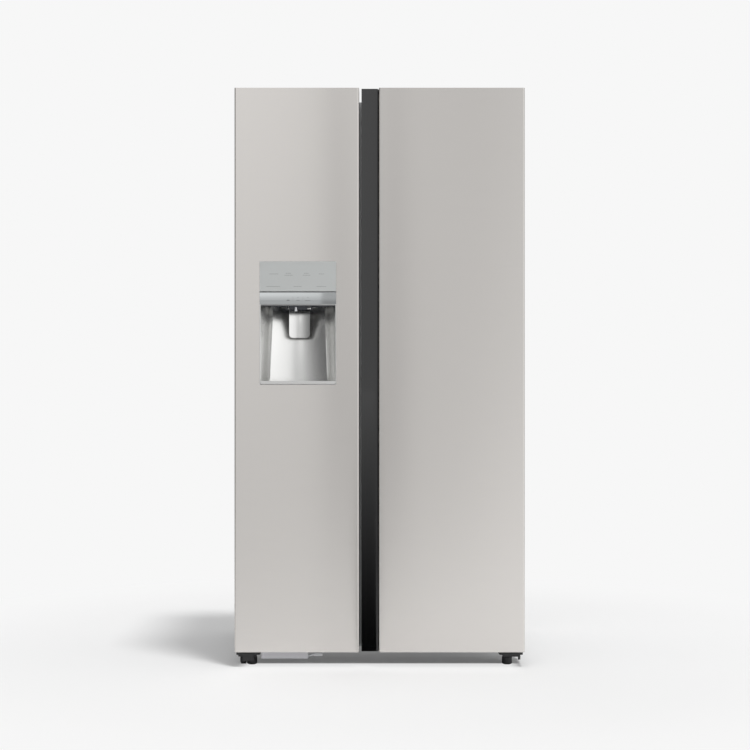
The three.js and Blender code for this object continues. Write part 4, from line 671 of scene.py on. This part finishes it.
for side in (-1, 1):
    pick(niche_shell, "VERT", lambda co: co.y < hollow_from + 0.1 * hair and side * (co.x - niche_x) > 0)
    bpy.ops.mesh.extrude_region_move(TRANSFORM_OT_translate={
        "value": (side * wall_splay, hollow_drop - floor_depth, 0)})
rise = niche_height / niche_levels
lean_before, taper_before = 1.0, 1.0
for level in range(1, niche_levels + 1):
    share = level / niche_levels
    lean = 1 + (back_depth / floor_depth - 1) * share ** niche_lean_power
    taper = 1 - niche_narrowing * share
    pick(niche_shell, "VERT", lambda co: co.z > niche_floor + (level - 1.5) * rise)
    bpy.ops.mesh.extrude_region_move(TRANSFORM_OT_translate={"value": (0, 0, rise)})
    pick(niche_shell, "VERT", lambda co: co.z > niche_floor + (level - 0.5) * rise
         and co.y > niche_low.y + 10 * hair)
    bpy.ops.transform.resize(value=(taper / taper_before, lean / lean_before, 1),
                             center_override=(niche_x, niche_low.y, niche_floor))
    lean_before, taper_before = lean, taper
for height in (niche_floor, niche_ceiling):
    pick(niche_shell, "EDGE", lambda a, b: abs(a.z - height) < hair and abs(b.z - height) < hair)
    bpy.ops.mesh.edge_face_add()


def off_hollow(co):
    """How far a point lies from the upright edges between the hollow and the side walls."""
    narrowed = hollow_half * (1 - niche_narrowing * (co.z - niche_floor) / niche_height)
    return abs(abs(co.x - niche_x) - narrowed)


pick(niche_shell, "EDGE", lambda a, b: abs(a.z - b.z) > rise / 2 and a.y > niche_low.y + 10 * hair
     and min(off_hollow(a), off_hollow(b)) < 15 * hair)
bpy.ops.mesh.bevel(offset=hollow_edge, segments=8, affect="EDGES")
bpy.ops.mesh.select_all(action="SELECT")
bpy.ops.mesh.remove_doubles(threshold=hair / 2)
bpy.ops.mesh.normals_make_consistent(inside=False)
bpy.ops.object.mode_set(mode="OBJECT")
apply(niche_shell, "SOLIDIFY", thickness=sheet, offset=1)
bpy.ops.object.mode_set(mode="EDIT")
pick(niche_shell, "EDGE", lambda a, b: abs(a.z - b.z) > hair and max(a.y, b.y) < niche_low.y + hair
     and max(abs(abs(co.x - niche_x) - mouth_half) for co in (a, b)) < 2 * hair)
bpy.ops.mesh.bevel(offset=niche_lip, segments=4, affect="EDGES")
niche_metal = brushed_steel("niche_metal", (0.80, 0.80, 0.79), 0.25, shift=0.03)
finished(niche_shell, niche_metal, "freezer_door", "niche_metal")
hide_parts("dispenser_niche")
finish_nodes(niche_metal, "dispenser_niche", "drip_tray")

# Paddle. A dished lever pressed from the same sheet, round at its lower corners, that hangs by two
# trunnions from the lugs of the nozzle's housing.
paddle_low, paddle_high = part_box("dispenser_paddle")
paddle_x = (paddle_low.x + paddle_high.x) / 2
paddle_middle = (paddle_x, paddle_high.y, (paddle_low.z + paddle_high.z) / 2)
paddle_half, paddle_sheet, paddle_corner, paddle_rim = 0.032, 0.0022, 0.012, 0.0007
paddle_lean, lean_from, paddle_levels = math.radians(26), 0.45, 16
dish_radius, trim = 0.085, 0.002
outline_depth, trunnion_radius, trunnion_setback = 0.06, 0.0025, 0.0015
dish_back = paddle_high.y - paddle_sheet
bpy.ops.mesh.primitive_circle_add(
    vertices=180, radius=dish_radius, location=(paddle_x, dish_back - dish_radius, paddle_low.z - trim))
paddle_plate = new_piece("paddle_plate")
bpy.ops.mesh.select_all(action="SELECT")
bpy.ops.mesh.bisect(plane_co=(paddle_x, paddle_low.y - trim, 0), plane_no=(0, 1, 0), clear_inner=True)
step = (paddle_high.z + trim - paddle_low.z) / paddle_levels
for level in range(paddle_levels):
    pick(paddle_plate, "VERT", lambda co: co.z > paddle_low.z - trim + (level - 0.5) * step)
    tilt = paddle_lean * max(0.0, (level + 0.5) / paddle_levels - lean_from)
    bpy.ops.mesh.extrude_region_move(TRANSFORM_OT_translate={"value": (0, math.tan(tilt) * step, step)})
bpy.ops.mesh.select_all(action="SELECT")
bpy.ops.mesh.normals_make_consistent(inside=False)
bpy.ops.object.mode_set(mode="OBJECT")
apply(paddle_plate, "SOLIDIFY", thickness=paddle_sheet, offset=0)
bpy.ops.object.select_all(action="DESELECT")
outline = block("paddle_outline", paddle_middle, (2 * paddle_half, outline_depth, paddle_high.z - paddle_low.z))
pick(outline, "EDGE", lambda a, b: max(a.z, b.z) < paddle_low.z + hair and abs(a.x - b.x) < hair)
bpy.ops.mesh.bevel(offset=paddle_corner, segments=10, affect="EDGES")
hold(paddle_plate)
apply(paddle_plate, "BOOLEAN", operation="INTERSECT", object=outline)
bpy.data.objects.remove(outline)
apply(paddle_plate, "BEVEL", width=paddle_rim, segments=2, angle_limit=math.radians(50))
bpy.ops.object.select_all(action="DESELECT")
bpy.ops.mesh.primitive_cylinder_add(
    vertices=24, radius=trunnion_radius, depth=paddle_high.x - paddle_low.x, rotation=(0, math.radians(90), 0),
    location=(paddle_x, paddle_high.y - trunnion_setback, paddle_high.z - trunnion_radius))
trunnion = new_piece("paddle_trunnion")
bpy.ops.mesh.select_all(action="SELECT")
bpy.ops.mesh.bevel(offset=edge_break, segments=2, affect="EDGES")
hold(paddle_plate, trunnion)
bpy.ops.object.join()
finished(paddle_plate, niche_metal, "dispenser_paddle", "niche_metal")
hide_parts("dispenser_paddle")
finish_nodes(niche_metal, "dispenser_paddle")

# Nozzle. A housing moulded from smoked plastic that hangs from its plate on the niche's ceiling,
# with a bright water spout pressed into it.
smoke = textured("smoked_nozzle", (0.03, 0.032, 0.04), 0.12, grain=800, depth=0.00001)
finish_nodes(smoke, "nozzle_housing")
spout_bright = textured("spout_bright", (0.80, 0.81, 0.84), 0.12, depth=0.00001, Metallic=0.6)
spout_radius, spout_length, spout_wall, spout_bore = 0.0040, 0.0130, 0.0012, 0.004
spout_left, spout_back, spout_up = 0.007, 0.0215, 0.0045
nozzle_low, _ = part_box("nozzle_housing")
bpy.ops.mesh.primitive_cylinder_add(
    vertices=32, radius=spout_radius, depth=spout_length,
    location=(niche_x - spout_left, niche_low.y + spout_back, nozzle_low.z + spout_up))
spout_tip = new_piece("spout_tip")
pick(spout_tip, "FACE", lambda co, normal: normal.z < -0.9)
bpy.ops.mesh.inset(thickness=spout_wall)
bpy.ops.mesh.extrude_region_move(TRANSFORM_OT_translate={"value": (0, 0, spout_bore)})
pick(spout_tip, "EDGE", lambda a, b: abs(a.z - b.z) < 0.1 * hair)
bpy.ops.mesh.bevel(offset=edge_break, segments=2, affect="EDGES")
finished(spout_tip, spout_bright, "freezer_door", "bright_steel")

# Shelf rails. A white moulded rail with a slot is pushed over the front edge of every glass shelf,
# and holds the glass by its spring.
rail_white = textured("rail_white", (0.80, 0.81, 0.82), 0.32, grain=600, depth=0.00001, shift=0.03)
rail_inset, rail_depth, rail_height, rail_skin, rail_round = 0.010, 0.014, 0.011, 0.00015, 0.0016
for shelf in glass_shelves:
    shelf_low, shelf_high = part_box(shelf)
    rail = block(
        shelf + "_rail",
        ((shelf_low.x + shelf_high.x) / 2, shelf_low.y + rail_depth / 2, shelf_high.z - rail_height / 2),
        (shelf_high.x - shelf_low.x - 2 * (rail_inset - rail_skin), rail_depth + 2 * rail_skin,
         rail_height + 2 * rail_skin))
    pick(rail, "EDGE", lambda a, b: abs(a.x - b.x) > 0.1)
    bpy.ops.mesh.bevel(offset=rail_round, segments=4, affect="EDGES")
    finished(rail, rail_white, "cabinet", "white_liner")

# Lamps. A ribbed cover of frosted plastic is clipped to the ceiling of each compartment, over
# its light.
lamp_frost = textured("lamp_frost", (0.90, 0.91, 0.92), 0.35, grain=300, depth=0.00003, shift=0.03)
lamp_width, lamp_length, lamp_drop, lamp_setback = 0.110, 0.046, 0.009, 0.085
lamp_ribs, rib_depth, rib_span, lamp_margin, lamp_step = 10, 0.0008, 0.098, 0.005, 0.002
below_ceiling = 0.13
for liner in ("freezer_liner", "fridge_liner"):
    liner_low, liner_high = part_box(liner)
    lamp_x, lamp_y = (liner_low.x + liner_high.x) / 2, liner_low.y + lamp_setback
    below = Vector((lamp_x, lamp_y, liner_high.z - below_ceiling))
    ceiling = cad[liner].ray_cast(below, Vector((0, 0, 1)))[1].z
    cover = block(liner.split("_")[0] + "_lamp_cover", (lamp_x, lamp_y, ceiling - lamp_drop / 2),
                  (lamp_width, lamp_length, lamp_drop))
    pick(cover, "FACE", lambda co, normal: normal.z < -0.9)
    bpy.ops.mesh.inset(thickness=lamp_margin, depth=lamp_step)
    for rib in range(1, lamp_ribs):
        rib_x = lamp_x + (rib / lamp_ribs - 0.5) * rib_span
        bpy.ops.mesh.select_all(action="SELECT")
        bpy.ops.mesh.bisect(plane_co=(rib_x, lamp_y, ceiling), plane_no=(1, 0, 0))
    pick(cover, "EDGE", lambda a, b: max(a.z, b.z) < ceiling - lamp_drop - 5 * hair
         and abs(a.x - b.x) < 0.1 * hair and abs(a.x - lamp_x) < rib_span / 2)
    bpy.ops.transform.translate(value=(0, 0, rib_depth))
    finished(cover, lamp_frost, "cabinet", "white_liner", smooth=20,
             width=0.0006, segments=2, angle_limit=math.radians(40))

# Rear fold. The outer shell's rear edge is folded in over the edge of the back panel, down both sides
# and along the top, and pressed flat.
fold_width, fold_sheet, fold_inset = 0.007, 0.0006, 0.001
shell_low, shell_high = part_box("outer_shell")
fold_middle = (shell_low.z + shell_high.z) / 2
rear_fold = block(
    "rear_fold", (0, shell_high.y + fold_sheet / 2, fold_middle),
    (shell_high.x - shell_low.x - fold_inset, fold_sheet, shell_high.z - shell_low.z - fold_inset))
pick(rear_fold, "FACE", lambda co, normal: abs(normal.y) > 0.9)
bpy.ops.mesh.inset(thickness=fold_width)
pick(rear_fold, "FACE", lambda co, normal: abs(normal.y) > 0.9
     and max(abs(co.x), abs(co.z - fold_middle)) < fold_width)
bpy.ops.mesh.bridge_edge_loops()
bpy.ops.mesh.select_all(action="SELECT")
bpy.ops.mesh.bisect(plane_co=(0, 0, shell_low.z + fold_width + fold_inset), plane_no=(0, 0, 1),
                    clear_inner=True, use_fill=True)
bpy.ops.mesh.select_all(action="SELECT")
bpy.ops.mesh.normals_make_consistent(inside=False)
finished(rear_fold, grey_paint, "cabinet", "shell_paint",
         width=0.00025, segments=2, angle_limit=math.radians(50))

# Screws. Zinc plated pan heads with a cross recess hold the rear sheets on; each is a turned head
# with two slots cut into it.
screw_radius, screw_height, screw_round, screw_sunk = 0.0042, 0.0018, 0.0009, 0.00005
slot_size, screw_turn = (0.0046, 0.0020, 0.0010), math.radians(37)
panel_margin, top_margin, cover_margin, cover_inner = 0.009, 0.012, 0.013, 0.17
panel_heights, cover_heights = (0.30, 0.58, 0.86, 1.14, 1.42, 1.70), (0.085, 0.23)
bpy.ops.mesh.primitive_cylinder_add(vertices=24, radius=screw_radius, depth=screw_height,
                                    rotation=(math.radians(90), 0, 0), location=(0, screw_height / 2, 0))
screw_head = new_piece("screw_head")
pick(screw_head, "EDGE", lambda a, b: min(a.y, b.y) > screw_height - 0.1 * hair)
bpy.ops.mesh.bevel(offset=screw_round, segments=4, affect="EDGES")
bpy.ops.object.mode_set(mode="OBJECT")
bpy.ops.object.select_all(action="DESELECT")
for turn in (0, 90):
    cutter = block("slot_cutter", (0, screw_height, 0), slot_size, rotation=(0, math.radians(turn), 0))
    hold(screw_head)
    apply(screw_head, "BOOLEAN", operation="DIFFERENCE", object=cutter)
    bpy.data.objects.remove(cutter)
_, panel_back_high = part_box("back_panel")
cover_back_low, cover_back_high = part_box("rear_cover")
seats = []
for side in (-1, 1):
    seats += [("back_panel", side * (panel_back_high.x - panel_margin), height) for height in panel_heights]
    seats += [("rear_cover", side * (cover_back_high.x - cover_margin), height) for height in cover_heights]
    seats += [("rear_cover", side * cover_inner, cover_back_high.z - cover_margin),
              ("rear_cover", side * cover_inner, cover_back_low.z + cover_margin)]
seats.append(("back_panel", 0.0, panel_back_high.z - top_margin))
for count, (node, x, z) in enumerate(seats, 1):
    seat = cad[node].ray_cast(Vector((x, cad_box[1][1] + screw_height, z)), Vector((0, -1, 0)))[1].y
    screw = screw_head.copy()
    screw.data = screw_head.data.copy()
    screw.name = f"rear_screw_{count}"
    bpy.context.collection.objects.link(screw)
    hold(screw)
    bpy.ops.transform.rotate(value=count * screw_turn, orient_axis="Y", center_override=(0, 0, 0))
    screw.location = (x, seat - screw_sunk, z)
    bpy.ops.object.transform_apply(location=True, rotation=True, scale=True)
    finished(screw, zinc, "cabinet", "bright_steel")
bpy.data.objects.remove(screw_head)

# Every CAD node has its finish by now.
for name, node in cad.items():
    if not node.data.materials:
        raise SystemExit(name + " has no material")
